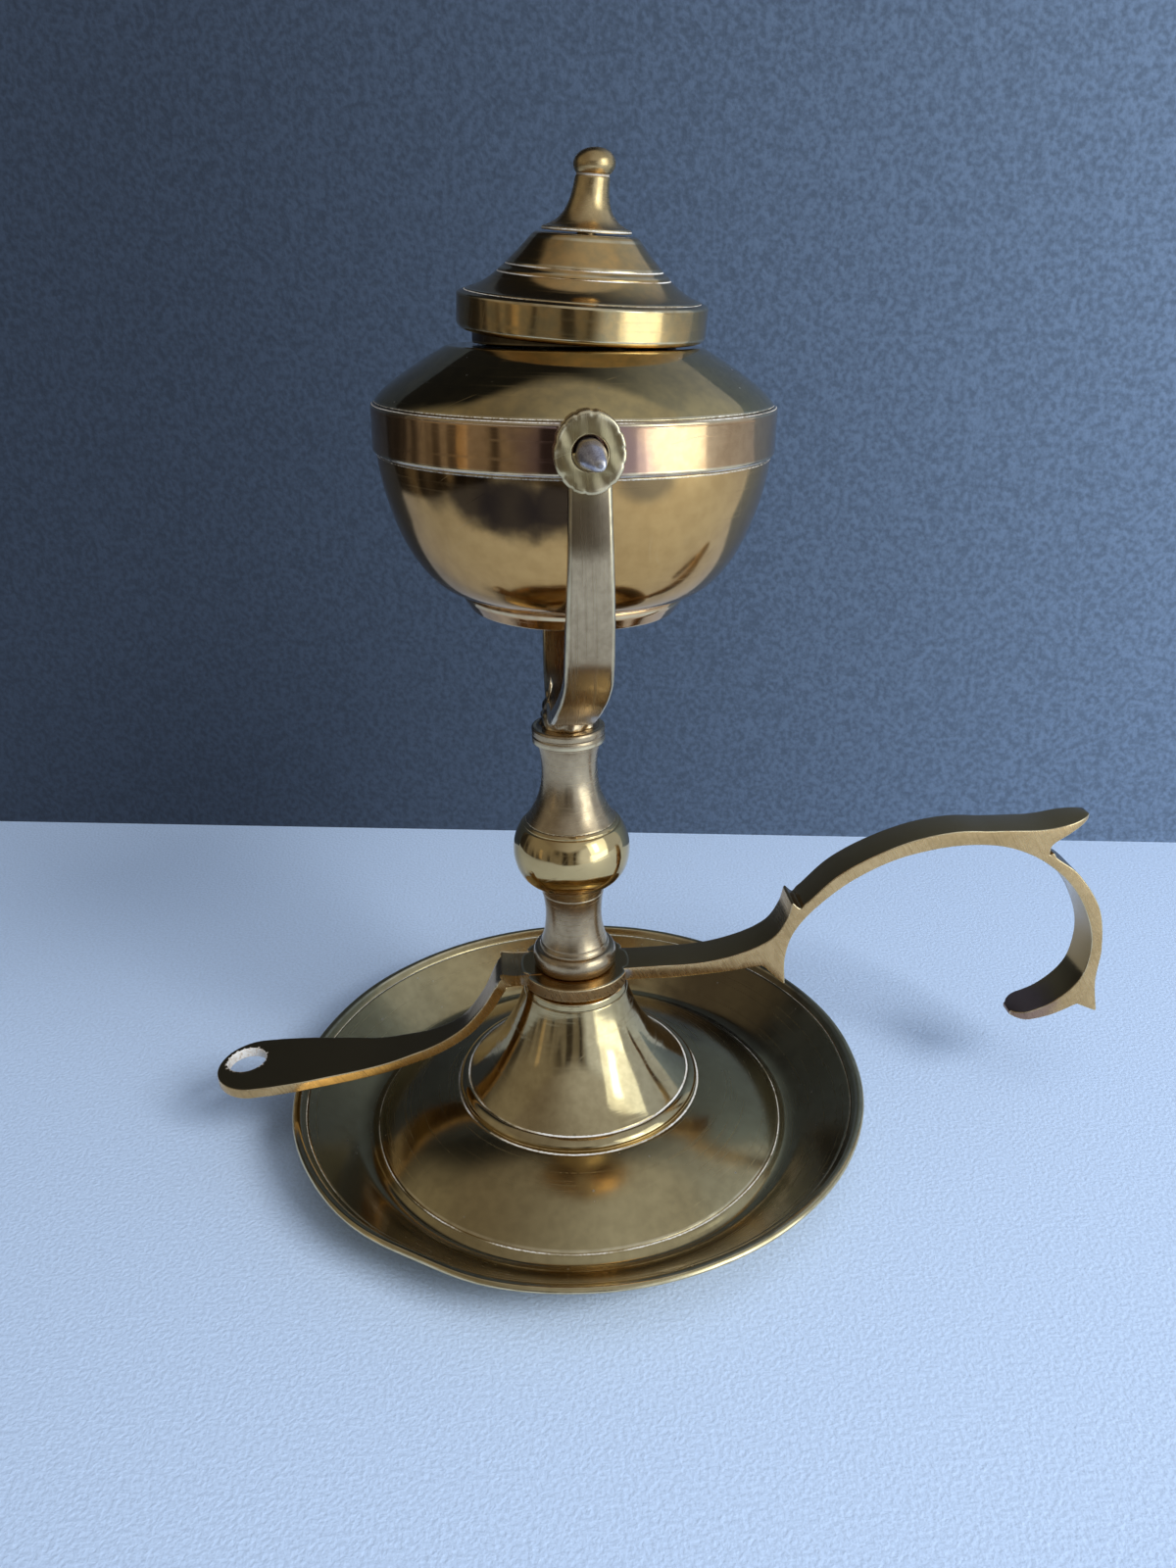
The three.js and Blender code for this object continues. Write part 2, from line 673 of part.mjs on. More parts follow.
function lidShellGeometry() {
  const studHole = finialStudRadius + seamGap;
  const outline = new THREE.Path();
  outline.moveTo(lidRadius - lidWall, 0);
  outline.lineTo(lidRadius - lidEdgeRound, 0);
  outline.lineTo(lidRadius, lidEdgeRound);
  outline.lineTo(lidRadius, lidBandHeight - lidEdgeRound);
  outline.lineTo(lidShelfRadius, lidBandHeight);
  curveTo(outline, reedFootRadius, reedFootHeight, roofSweep);
  outline.lineTo(reedTopRadius, reedTopHeight);
  curveTo(outline, lidTopRadius, lidHeight - lidTopRound, coneSweep);
  outline.lineTo(lidTopRadius - lidTopRound, lidHeight);
  outline.lineTo(studHole, lidHeight);
  outline.lineTo(studHole, lidHeight - lidWall);
  outline.lineTo(lidTopRadius - lidWall, lidHeight - lidWall);
  outline.lineTo(reedTopRadius - lidWall, reedTopHeight - lidWall / 2);
  outline.lineTo(lidShelfRadius - lidWall, lidBandHeight - lidWall / 2);
  outline.lineTo(lidRadius - lidWall, lidBandHeight - lidWall);
  outline.closePath();
  return turned(outline, fontFacets);
}

function lidFinialGeometry() {
  const stud = seamGap + lidWall + seamGap + finialNutThickness;
  const outline = new THREE.Path();
  outline.moveTo(0, -stud);
  outline.lineTo(finialStudRadius, -stud);
  outline.lineTo(finialStudRadius, 0);
  outline.lineTo(finialFootRadius, 0);
  outline.lineTo(finialFootRadius, finialFootEdge);
  curveTo(outline, finialNeckRadius, finialNeckHeight, finialFlare);
  outline.lineTo(finialKnobRadius, (2 * finialNeckHeight + finialHeight) / 3);
  curveTo(outline, 0, finialHeight, knobRound);
  const finial = turned(outline, smallFacets);
  return bent(finial, (point) => point.z / finialHeight, new THREE.Vector3(finialLean, 0, 0));
}

// Fasteners. A washer or nut with its upper face at z = 0; a nut's blank has six facets.
function boredBlank(radius, bore, thickness, facets) {
  const blank = solid(bar(radius, -thickness, 0, facets));
  return geometryOf(blank.subtract(solid(bar(bore, -2 * thickness, thickness))));
}

// Finishes.
const brass = new THREE.MeshStandardMaterial({ color: 0x8a7340, roughness: 0.28, metalness: 1 });
const darkBrass = new THREE.MeshStandardMaterial({ color: 0x6b5634, roughness: 0.4, metalness: 1 });
const paleBrass = new THREE.MeshStandardMaterial({ color: 0x9c8c66, roughness: 0.38, metalness: 1 });
const iron = new THREE.MeshStandardMaterial({ color: 0x4a4548, roughness: 0.45, metalness: 1 });
const lead = new THREE.MeshStandardMaterial({ color: 0x6f7072, roughness: 0.7, metalness: 1 });
const cotton = new THREE.MeshStandardMaterial({ color: 0xd8cfb8, roughness: 0.95, metalness: 0 });

function piece(name, geometry, material, parent, x = 0, z = 0) {
  const mesh = new THREE.Mesh(geometry, material);
  mesh.name = name;
  mesh.position.set(x, 0, z);
  parent.add(mesh);
  return mesh;
}

// Assembly.
const lamp = new THREE.Group();

piece('dish', dishGeometry(), brass, lamp);
piece('pedestal', pedestalGeometry(), brass, lamp, 0, seatHeight);
const handle = piece('handle', handleGeometry(), darkBrass, lamp, 0, handleZ + handleThickness / 2);
piece('stem', stemGeometry(), brass, lamp, 0, stemZ);
piece('fork', forkGeometry(), paleBrass, lamp, 0, forkZ);

const washerZ = seatHeight - dishWall;
const nutZ = washerZ - washerThickness;
const rodFoot = nutZ - nutThickness - tieRodTail;
piece('tie_rod', bar(tieRodRadius, rodFoot, stemZ + tieRodGrip), iron, lamp);
piece('tie_washer', boredBlank(washerRadius, rodHole, washerThickness, smallFacets), brass, lamp, 0, washerZ);
piece('tie_nut', boredBlank(nutRadius, rodHole, nutThickness, nutFacets), iron, lamp, 0, nutZ);

const font = new THREE.Group();
font.position.set(pivotOffset, 0, pivotZ);
font.rotation.y = THREE.MathUtils.degToRad(fontTilt);
lamp.add(font);

piece('font_bowl', fontBowlGeometry(), brass, font);
piece('font_band', fontBandGeometry(), brass, font);
piece('font_shoulder', fontShoulderGeometry(), brass, font);
piece('font_foot', fontFootGeometry(), brass, font);
const ballastZ = fontWall + seamGap - bowlDepth;
const ballast = bar(ballastRadius, ballastZ, ballastZ + ballastHeight, boreFacets);
piece('ballast_weight', ballast, lead, font, ballastShift);
piece('neck_collar', neckCollarGeometry(), brass, font);
piece('pivot_pin_front', pinGeometry(frontPinBend), iron, font);
piece('pivot_pin_rear', pinGeometry(0).rotateZ(Math.PI), iron, font);

const burner = new THREE.Group();
burner.position.z = plateZ;
font.add(burner);

piece('burner_plate', burnerPlateGeometry(), brass, burner);
piece('wick_tube_left', wickTubeGeometry(), brass, burner, -tubeX);
piece('wick_tube_right', wickTubeGeometry(), brass, burner, tubeX);
piece('wick_left', wickGeometry(), cotton, burner, -tubeX);
piece('wick_right', wickGeometry(), cotton, burner, tubeX);

// The cocked lid rests the inner edge of its low side on the shoulder's flat land.
const cock = THREE.MathUtils.degToRad(lidCock);
const cockTurn = THREE.MathUtils.degToRad(lidCockTurn);
const lidMouth = lidRadius - lidWall;
const lid = new THREE.Group();
lid.position.set(lidShift, 0, shoulderHeight + seamGap + lidMouth * Math.sin(cock));
lid.quaternion.setFromAxisAngle(new THREE.Vector3(-Math.sin(cockTurn), Math.cos(cockTurn), 0), cock);
font.add(lid);

piece('lid_shell', lidShellGeometry(), brass, lid);
piece('lid_finial', lidFinialGeometry(), brass, lid, 0, lidHeight + seamGap);
const finialNut = boredBlank(finialNutRadius, finialStudRadius + seamGap, finialNutThickness, nutFacets);
piece('finial_nut', finialNut, brass, lid, 0, lidHeight - lidWall - seamGap);

// The origin lies on the table under the middle of the handle's whole length.
handle.geometry.computeBoundingBox();
const { min, max } = handle.geometry.boundingBox;
lamp.position.x = -(min.x + max.x) / 2;

export default lamp;
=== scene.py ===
# %% [markdown]
# A brass gimbal oil lamp. The oil font hangs on two pins in a fork, so that it stays level while the lamp
# is carried by its finger hook or hung on a wall by its tab. This lesson dresses the lamp's plain solids:
# every piece is worked out again as a fine surface, with rounded edges, turned lines, dents and wear, and
# gets a finish of its own. The solids could be bevelled instead, but a surface that is worked out from its
# own outline has each line and edge just where the lamp has it. Lengths are millimetres until a mesh is
# made.

# %% Load the frame
import json

import bmesh
import bpy
import numpy as np
from mathutils import Matrix, Vector
from mathutils.geometry import delaunay_2d_cdt


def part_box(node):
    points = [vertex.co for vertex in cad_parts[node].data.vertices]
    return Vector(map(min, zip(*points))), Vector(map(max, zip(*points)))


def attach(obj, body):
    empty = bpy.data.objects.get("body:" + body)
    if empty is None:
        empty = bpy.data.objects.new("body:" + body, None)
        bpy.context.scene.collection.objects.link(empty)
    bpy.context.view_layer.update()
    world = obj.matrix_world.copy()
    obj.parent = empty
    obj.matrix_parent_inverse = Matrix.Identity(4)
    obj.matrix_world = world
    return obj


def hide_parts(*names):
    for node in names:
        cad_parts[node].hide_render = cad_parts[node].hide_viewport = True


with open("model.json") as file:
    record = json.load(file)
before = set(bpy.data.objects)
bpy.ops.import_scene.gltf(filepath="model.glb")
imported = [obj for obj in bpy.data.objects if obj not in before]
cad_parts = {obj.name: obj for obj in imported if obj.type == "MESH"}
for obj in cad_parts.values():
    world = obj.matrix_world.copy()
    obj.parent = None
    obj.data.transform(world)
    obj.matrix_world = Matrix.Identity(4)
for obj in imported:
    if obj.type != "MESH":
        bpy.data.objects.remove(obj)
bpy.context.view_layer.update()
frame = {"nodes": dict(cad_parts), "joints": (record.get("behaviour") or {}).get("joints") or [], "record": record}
MM = 0.001

# %% [markdown]
# Where things are. Nothing is placed by eye: the stand's axis, the pivot, and the slight tilts of the font
# and of its loose lid are read from the frame, so a piece lands exactly where its solid is. A turned piece
# needs only a foot point and an axis, from which three unit vectors follow.

# %% Places read from the frame
RING_SLACK, BURNER_RISE, LID_HEIGHT = 0.02, 15.5, 15.0
UP = (0.0, 0.0, 1.0)


def node_points(node):
    """Every vertex of a solid, in millimetres."""
    vertices = frame["nodes"][node].data.vertices
    points = np.empty(3 * len(vertices), np.float32)
    vertices.foreach_get("co", points)
    return points.reshape(-1, 3).astype(float) / MM


def standing(foot, axis):
    """A foot point with three unit vectors: as near +X as the axis lets it be, across, and the axis."""
    axis = np.array(axis, float) / np.linalg.norm(axis)
    side = np.array([1.0, 0.0, 0.0]) - axis[0] * axis
    side /= np.linalg.norm(side)
    return np.array(foot, float), np.stack([side, np.cross(axis, side), axis])


def lowest_ring(node, axis):
    """The middle of the ring of vertices that lies lowest along an axis."""
    points = node_points(node)
    along = points @ np.array(axis)
    ring = points[along < along.min() + RING_SLACK]
    return (ring.min(0) + ring.max(0)) / 2


joints = {joint["name"]: joint for joint in frame["joints"]}
dish_low, dish_high = (np.array(corner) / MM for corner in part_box("dish"))
pedestal_low, pedestal_high = (np.array(corner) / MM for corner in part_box("pedestal"))
stem_low, stem_high = (np.array(corner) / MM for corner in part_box("stem"))
stand_x = (dish_low[0] + dish_high[0]) / 2
pivot = np.array(joints["font_swing"]["pos_m"]) / MM
font_axis = joints["burner_lift"]["axis"]
lid_axis = joints["lid_lift"]["axis"]

TABLE = standing((stand_x, 0, 0), UP)
SEAT = standing((stand_x, 0, pedestal_low[2]), UP)
PLATE = standing((stand_x, 0, (pedestal_high[2] + stem_low[2]) / 2), UP)
STEM = standing((stand_x, 0, stem_low[2]), UP)
FORK = standing((stand_x, 0, stem_high[2]), UP)
FONT = standing(pivot, font_axis)
BURNER = standing(pivot + BURNER_RISE * np.array(font_axis), font_axis)
LID = standing(lowest_ring("lid_shell", lid_axis), lid_axis)
FINIAL = standing(LID[0] + LID_HEIGHT * np.array(lid_axis), lid_axis)
print("stand axis x %.2f, pivot height %.2f, lid foot" % (stand_x, pivot[2]), LID[0].round(2))

# %% [markdown]
# Outlines. Most of the lamp was turned on a lathe, so a piece is an outline of radius and height carried
# round an axis. An outline is written as its corners. Four shares before a corner bend the run that leads
# to it, and a third number on a corner rounds it, because no edge on an old lamp is quite sharp. Curve
# objects could hold the outlines too, but plain numbers are easier to compare with the lamp.

# %% Outlines
DENSE = 0.02


def run(a, b, shares):
    """A cubic Bezier curve from a to b. Its handles lie at the given shares of the box between them."""
    a, b = np.array(a[:2], float), np.array(b[:2], float)
    near, far = (a + (b - a) * np.array(pair) for pair in (shares[:2], shares[2:]))
    t = np.linspace(0, 1, max(12, int(np.hypot(*(b - a)) / DENSE)), endpoint=False)[:, None]
    return (1 - t) ** 3 * a + 3 * (1 - t) ** 2 * t * near + 3 * (1 - t) * t**2 * far + t**3 * b


def lengths(path):
    """How far along a path each of its points lies."""
    return np.concatenate([[0], np.cumsum(np.hypot(*np.diff(path, axis=0).T))])


def point_at(path, s, at):
    """Points of a path at given distances along it; s holds the distance of each of its own points."""
    return np.stack([np.interp(at, s, path[:, k]) for k in (0, 1)], -1)


print("an outline's points lie %.2f mm apart before they are spaced again" % DENSE)

# %% [markdown]
# Corners. A Bevel modifier could round them later, but it knows nothing of the lamp. Here each corner is
# rounded by its own reach while the outline is still a line. Its place is kept, so that points can crowd
# there and the finish can tell an outer corner, which hands rub bright and which gets a painted highlight,
# from an inner one.

# %% Corners and spacing
STRAIGHT = [1 / 3, 1 / 3, 2 / 3, 2 / 3]
CROWD_REACH, CROWD_PULL = 0.7, 7.0


def outline(parts, closed=False):
    """Corners joined by runs, with each corner rounded by a quadratic curve over its reach.

    Gives the dense path, the places of its corners along it, and whether each stands out (1) or in (-1)."""
    corners = [part for part in parts if isinstance(part, tuple)]
    shares = {}
    for before, after in zip(parts, parts[1:]):
        if isinstance(before, list):
            shares[corners.index(after)] = before
    ends = corners[1:] + corners[:1] if closed else corners[1:]
    runs = [run(a, b, shares.get(corners.index(b), STRAIGHT)) for a, b in zip(corners, ends)]
    path = np.concatenate([*runs, [ends[-1][:2]]])
    s = lengths(path)
    starts = np.cumsum([0] + [len(r) for r in runs])
    places, signs = [], []
    rounded = path.copy()
    for corner, index in zip(corners[1:], starts[1:]):
        reach = corner[2] if len(corner) > 2 else 0
        if reach and 0 < index < len(path) - 1:
            a, b = (point_at(path, s, s[index] + side) for side in (-reach, reach))
            near = np.abs(s - s[index]) < reach
            t = ((s[near] - s[index]) / reach / 2 + 0.5)[:, None]
            rounded[near] = (1 - t) ** 2 * a + 2 * t * (1 - t) * path[index] + t**2 * b
            (ax, az), (bx, bz) = path[index] - a, b - path[index]
            places.append(s[index])
            signs.append(np.sign(ax * bz - az * bx))
    return rounded, np.array(places), np.array(signs)


def crowded(path, count, marks):
    """A path of count points, which crowd by up to CROWD_PULL within CROWD_REACH of the marks along it."""
    s = lengths(path)
    density = np.ones_like(s)
    for mark in marks:
        density += CROWD_PULL * np.exp(-(((s - mark) / CROWD_REACH) ** 2))
    total = np.concatenate([[0], np.cumsum(density[1:] * np.diff(s))])
    at = np.interp(np.linspace(0, total[-1], count), total, s)
    return point_at(path, s, at), at


print("points lie up to %.0f times closer at a corner" % (1 + CROWD_PULL))

# %% [markdown]
# From a grid to a mesh. Points come as rows and columns; a quad joins each four neighbours. The mesh also
# keeps three things that the finishes read: "line" is 1 in a cut line or a corner that holds old polish,
# "edge" is 1 on an outer corner, which hands have rubbed and the finish paints with a highlight, and the
# UV map holds the turn and the way along the outline in metres, so that lathe marks can follow the
# turning. Whole arrays go into a mesh at once, because a loop over vertices would be slow.

# %% Meshes
made = {}
MERGE_GAP, SLIVER = 2e-7, 1e-8


def grid_faces(rows, columns, wrap_rows, wrap_columns):
    """Quads between neighbouring rows and columns, with the last joined to the first where it wraps."""
    i = np.arange(rows if wrap_rows else rows - 1)[:, None]
    j = np.arange(columns if wrap_columns else columns - 1)[None]
    up, on = (i + 1) % rows, (j + 1) % columns
    corners = [i * columns + j, i * columns + on, up * columns + on, up * columns + j]
    return np.stack([c + 0 * i + 0 * j for c in corners], -1).reshape(-1, 4)


def new_mesh(name, points, faces, masks, uv=None):
    """A mesh of quads or triangles, with its masks on the points and its UV map on the corners."""
    mesh = bpy.data.meshes.new(name)
    mesh.from_pydata((points * MM).tolist(), [], faces.tolist())
    for mask, values in masks.items():
        mesh.attributes.new(mask, "FLOAT", "POINT").data.foreach_set("value", values.astype(np.float32))
    if uv is not None:
        layer = mesh.uv_layers.new(name="turning")
        layer.data.foreach_set("uv", uv.astype(np.float32).ravel())
    return mesh


def joined(name, meshes):
    """One object of several meshes, with double points merged and every face smooth."""
    work = bmesh.new()
    for mesh in meshes:
        work.from_mesh(mesh)
        bpy.data.meshes.remove(mesh)
    bmesh.ops.remove_doubles(work, verts=work.verts, dist=MERGE_GAP)
    bmesh.ops.dissolve_degenerate(work, edges=work.edges, dist=SLIVER)
    mesh = bpy.data.meshes.new(name)
    work.to_mesh(mesh)
    work.free()
    mesh.polygons.foreach_set("use_smooth", np.ones(len(mesh.polygons), bool))
    piece = bpy.data.objects.new(name, mesh)
    bpy.context.scene.collection.objects.link(piece)
    return piece


def stands_for(piece, node, finish):
    """The piece takes a solid's place, rides on its body, and says how far their boxes differ."""
    record = frame["record"]
    body = next(b for b, nodes in record["behaviour"]["bodies"].items() if node in nodes)
    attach(piece, body)
    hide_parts(node)
    made.setdefault(finish, []).append(piece)
    corners = np.array([vertex[:] for vertex in piece.bound_box]) / MM
    low, high = (np.array(corner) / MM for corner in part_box(node))
    off = np.abs(np.concatenate([corners.min(0) - low, corners.max(0) - high])).max()
    print("%-16s %6d faces, box differs by %.2f mm" % (piece.name, len(piece.data.polygons), off))
    return piece


print("a grid of 3 by 4 points has", len(grid_faces(3, 4, False, False)), "faces")

# %% [markdown]
# The lathe. It carries an outline round its axis. A Screw modifier does the same, but it can't keep masks
# on the points or move single ones. Cut lines are small valleys in the outline, each with its own depth.

# %% The lathe
CORNER_RUB = 0.35


def cut_profile(parts, count, lines, closed):
    """An outline spaced again and cut in along its normal: points, places along it, edge and line masks.

    Each line is (radius, height, depth, half width, polish held)."""
    path, places, signs = outline(parts, closed)
    s = lengths(path)
    cuts = [s[np.hypot(path[:, 0] - cut[0], path[:, 1] - cut[1]).argmin()] for cut in lines]
    profile, at = crowded(path, count, [*places, *cuts])
    edge, line, depth = (np.zeros(count) for _ in range(3))
    for mark in places[signs > 0]:
        edge = np.maximum(edge, np.exp(-(((at - mark) / CORNER_RUB) ** 2)))
    for mark, (_, _, deep, half, held) in zip(cuts, lines):
        valley = np.exp(-(((at - mark) / half) ** 2))
        depth += deep * valley
        line = np.maximum(line, held * valley)
    along = np.gradient(profile, axis=0)
    along /= np.maximum(np.hypot(*along.T), 1e-9)[:, None]
    profile = profile - depth[:, None] * np.stack([along[:, 1], -along[:, 0]], -1)
    kept = slice(None, -1) if closed else slice(None)
    return profile[kept], at[kept], edge[kept], line[kept]


def turned_mesh(name, place, parts, count, facets, lines=(), closed=False, shape=None):
    """Radius and height from the outline, angle from the column: (r cos a, r sin a, z), then shaped."""
    profile, at, edge, line = cut_profile(parts, count, lines, closed)
    angle = np.arange(facets) / facets * 2 * np.pi
    r, z = profile[:, :1], profile[:, 1:]
    local = np.stack([r * np.cos(angle), r * np.sin(angle), z + 0 * angle], -1)
    if shape:
        local = shape(local)
    foot, basis = place
    points = foot + local.reshape(-1, 3) @ basis
    rows = len(local)
    faces = grid_faces(rows, facets, closed, True)
    turn = np.array([0, 1, 1, 0]) + np.arange(facets)[:, None]
    way = np.stack([at, at, np.roll(at, -1), np.roll(at, -1)], -1)[: rows if closed else rows - 1]
    uv = np.stack(np.broadcast_arrays(turn[None] / facets, way[:, None] * MM), -1)
    masks = {"line": np.repeat(line, facets), "edge": np.repeat(edge, facets)}
    return new_mesh(name, points, faces, masks, uv)


print("a rubbed corner fades over %.2f mm" % CORNER_RUB)

# %% [markdown]
# Hand work. No old piece is truly round. A Displace modifier could roughen it, but only along the normals;
# a shaping function gets all the points of a turned piece and may push them anywhere. This one makes a
# gentle wave, and later ones make a dent, a bent tip or a hammered rim.

# %% Waves
def wobble(x, y, z, size, seed):
    """A gentle random-looking wave in space: three crossed sines of about the given size."""
    k = 2 * np.pi / size
    a = np.sin(k * (x + 0.41 * y) + seed) * np.cos(k * (0.83 * z - 0.3 * x) + 1.7 * seed)
    return 0.6 * a + 0.4 * np.sin(k * 1.9 * (0.7 * y - 0.5 * z) + 2.3 * seed)


def hand_worked(size, depth, seed):
    """A shaping function that pushes points in and out from the axis by a gentle wave."""
    def shape(local):
        x, y, z = np.moveaxis(local, -1, 0)
        swell = 1 + depth * wobble(x, y, z, size, seed) / np.maximum(np.hypot(x, y), 4.0)
        return np.stack([x * swell, y * swell, z], -1)
    return shape


wave = wobble(*np.mgrid[0:30, 0:30, 0:30], 12.0, 0.0)
print("a wave of depth 1 reaches from %.2f to %.2f" % (wave.min(), wave.max()))

# %% [markdown]
# Dish. It was spun from sheet: a domed middle, a step and a moat, and a flared rim with one line cut inside
# its edge. A single surface with a Solidify modifier would give it a wall, but the outline is closed
# instead, because its inner and outer lines differ. Long use has left a flat on the rim at the front left,
# where it was once dropped, and a small bruise at the front. A shaping function makes both.

# %% Dish
DOME_CROWN, CROWN_BACK = [0.33, 0.16, 0.67, 0.43], [0.33, 0.57, 0.67, 0.84]
RIM_SWEEP, SWEEP_BACK = [0.35, 0.32, 0.7, 0.7], [0.3, 0.3, 0.65, 0.68]
DISH_OUTLINE = [
    (2.8, 9.1), (25.1, 9.1, 0.6), DOME_CROWN, (43, 1.1, 0.6), (44.4, 0, 0.6), (47.3, 0, 1.2),
    RIM_SWEEP, (60, 11.75, 0.35), (59.5, 12.5, 0.4), (58.5, 12.5, 0.4), SWEEP_BACK, (46.3, 2, 1.6),
    (44.4, 2, 0.6), (43, 3.1, 0.55), CROWN_BACK, (25.1, 11.1, 0.5), (2.8, 11.1),
]
# The last line, at the bell's foot, holds white old polish that is partly a painted highlight.
DISH_LINES = [(57.4, 10.8, 0.14, 0.18, 0.75), (43.0, 3.1, 0.1, 0.24, 0.8), (25.6, 11.0, 0.05, 0.3, 0.9)]
FLAT_ANGLE, FLAT_WIDTH, FLAT_DEPTH = np.radians(238), np.radians(9), 1.2
BRUISE_ANGLE, BRUISE_WIDTH, BRUISE_DEPTH = np.radians(283), np.radians(1.3), 0.35
BRUISE_RADIUS, BRUISE_HALF, RIM_FROM, RIM_WIDE, FLAT_SINK = 56.5, 1.2, 50, 10, 0.5


def knocked(local):
    """The rim pulled in along a smooth hill of angle, and one small hollow pressed into its wall."""
    local = hand_worked(size=34.0, depth=0.12, seed=0.4)(local)
    x, y, z = np.moveaxis(local, -1, 0)
    radius, angle = np.hypot(x, y), np.arctan2(y, x) % (2 * np.pi)
    outer = np.clip((radius - RIM_FROM) / RIM_WIDE, 0, 1) ** 2
    flat = FLAT_DEPTH * outer * np.exp(-(((angle - FLAT_ANGLE) / FLAT_WIDTH) ** 2))
    near = ((angle - BRUISE_ANGLE) / BRUISE_WIDTH) ** 2 + ((radius - BRUISE_RADIUS) / BRUISE_HALF) ** 2
    pulled = 1 - flat / np.maximum(radius, 1)
    sunk = FLAT_SINK * flat + BRUISE_DEPTH * np.exp(-near)
    return np.stack([x * pulled, y * pulled, z - sunk], -1)


dish_mesh = turned_mesh(
    "dish", TABLE, DISH_OUTLINE, count=290, facets=300, lines=DISH_LINES, closed=True, shape=knocked)
stands_for(joined("dish_pan", [dish_mesh]), "dish", "dish")

# %% [markdown]
# Pedestal. A cast bell stands on the dish, with a round bead between two lines at its foot. It could be a
# plain cone with a bevel, but light runs down a cast flare in curved streaks, so the flare is a curved run,
# and a slow wave keeps the streaks from being perfect.

# %% Pedestal
BEAD_ROUND, BELL_FLARE = [-0.3, 0.55, 0.45, 1], [0.36, 0.18, 0.8, 0.5]
FLARE_BACK = [0.2, 0.5, 0.64, 0.82]
PEDESTAL_OUTLINE = [
    (20.6, 0), (25.1, 0, 0.15), BEAD_ROUND, (23, 2.3, 0.5), BELL_FLARE, (10.3, 24.0, 0.3), (9.1, 24.3, 0.2),
    (9.1, 25.2, 0.1), (2.8, 25.2), (2.8, 22.8), (7.9, 22.8, 0.4), FLARE_BACK, (20.6, 0),
]
# The first line, above the bead, holds white old polish that is partly a painted highlight.
BELL_LINES = [(23.2, 2.25, 0.18, 0.26, 1.0), (10.9, 22.6, 0.06, 0.12, 0.0)]
bell_mesh = turned_mesh(
    "bell", SEAT, PEDESTAL_OUTLINE, count=220, facets=192, lines=BELL_LINES, closed=True,
    shape=hand_worked(size=11.0, depth=0.05, seed=2.1))
stands_for(joined("pedestal_bell", [bell_mesh]), "pedestal", "bell")

# %% [markdown]
# Stem. A baluster: a bead at its base, a waist, a round knop between two cut lines, and a collar. Spheres
# and cylinders could be joined, but a turner cuts it as one line, and one unbroken outline lets the
# reflections run on from form to form.

# %% Stem
BASE_LOWER, BASE_UPPER = [0.6, 0.05, 1, 0.4], [0, 0.6, 0.3, 0.95]
WAIST_IN, WAIST_OUT = [0.6, 0.25, 1, 0.6], [0, 0.4, 0.42, 0.72]
KNOP_LOWER, KNOP_UPPER = [0.55, 0.02, 1, 0.45], [0.02, 0.5, 0.5, 0.85]
STEM_OUTLINE = [
    (0, 16.3), (2.8, 16.3, 0.3), (2.8, 0, 0.2), (7.6, 0, 0.4), BASE_LOWER, (8.4, 2.1), BASE_UPPER,
    (7.2, 4.4, 0.4), WAIST_IN, (5.6, 11.85), WAIST_OUT, (6.9, 19.3, 0.3), KNOP_LOWER, (11.4, 26.2),
    KNOP_UPPER, (8.9, 32.5, 0.3), WAIST_IN, (5.3, 43.23), WAIST_OUT, (6.1, 48.6, 0.3), (6.9, 48.75, 0.2),
    (6.9, 51.8, 0.5), (3.3, 51.8, 0.2), (3.3, 45.5, 0.2), (0, 45.5),
]
STEM_LINES = [
    (7.2, 4.5, 0.16, 0.18, 0.4), (7.0, 5.6, 0.1, 0.14, 0.3), (6.2, 16.9, 0.12, 0.14, 0.3),
    (9.4, 31.9, 0.2, 0.16, 0.3), (8.8, 32.7, 0.1, 0.12, 0.6), (6.9, 50.2, 0.14, 0.18, 0.3),
    (6.1, 48.5, 0.1, 0.15, 0.5),
]
stem_mesh = turned_mesh(
    "stem", STEM, STEM_OUTLINE, count=330, facets=128, lines=STEM_LINES,
    shape=hand_worked(size=8.0, depth=0.03, seed=0.9))
stands_for(joined("stem_baluster", [stem_mesh]), "stem", "stem")

# %% [markdown]
# Font. Two bowls meet under a polished band, and a turned foot closes the lower one. They could be one
# outline, but each was spun and soldered by itself, so each is turned by itself, in a loop. The band stands
# a little proud, and old polish lies white along both of its edges.

# %% Font
BOWL_BELLY, BELLY_BACK = [0.52, 0.06, 0.93, 0.56], [0.07, 0.44, 0.48, 0.94]
SHOULDER_SLOPE, SLOPE_BACK = [0.075, 0.21, 0.42, 0.56], [0.58, 0.44, 0.925, 0.79]
BOWL_OUTLINE = [
    (0, -27.3), (20.8, -27.3, 0.5), BOWL_BELLY, (33.2, -4.14, 0.1), (32, -4.14, 0.1), (32, -0.15, 0.15),
    (30.4, -0.15, 0.15), (30.4, -4.4, 0.3), BELLY_BACK, (20, -25.7, 0.6), (0, -25.7),
]
SHOULDER_OUTLINE = [
    (30.4, 0.15), (32, 0.15, 0.15), (32, 3.74, 0.1), (33.2, 3.74, 0.1), SHOULDER_SLOPE, (20.9, 12.5, 0.6),
    (15.4, 12.5, 0.25), (15.4, 10.9, 0.25), (20.1, 10.9, 0.4), SLOPE_BACK, (30.4, 1.9, 0.3), (30.4, 0.15),
]
BAND_OUTLINE = [
    (32.3, 0), (32.3, -4.1, 0.15), (33.45, -4.1, 0.25), (33.8, -3.7, 0.25), (33.8, 3.3, 0.25),
    (33.45, 3.7, 0.25), (32.3, 3.7, 0.15), (32.3, 0),
]
FOOT_OUTLINE = [
    (0, -31), (18.2, -31, 0.4), (19.7, -28.73, 0.5), (19.7, -27.6, 0.3), (0, -27.6),
]
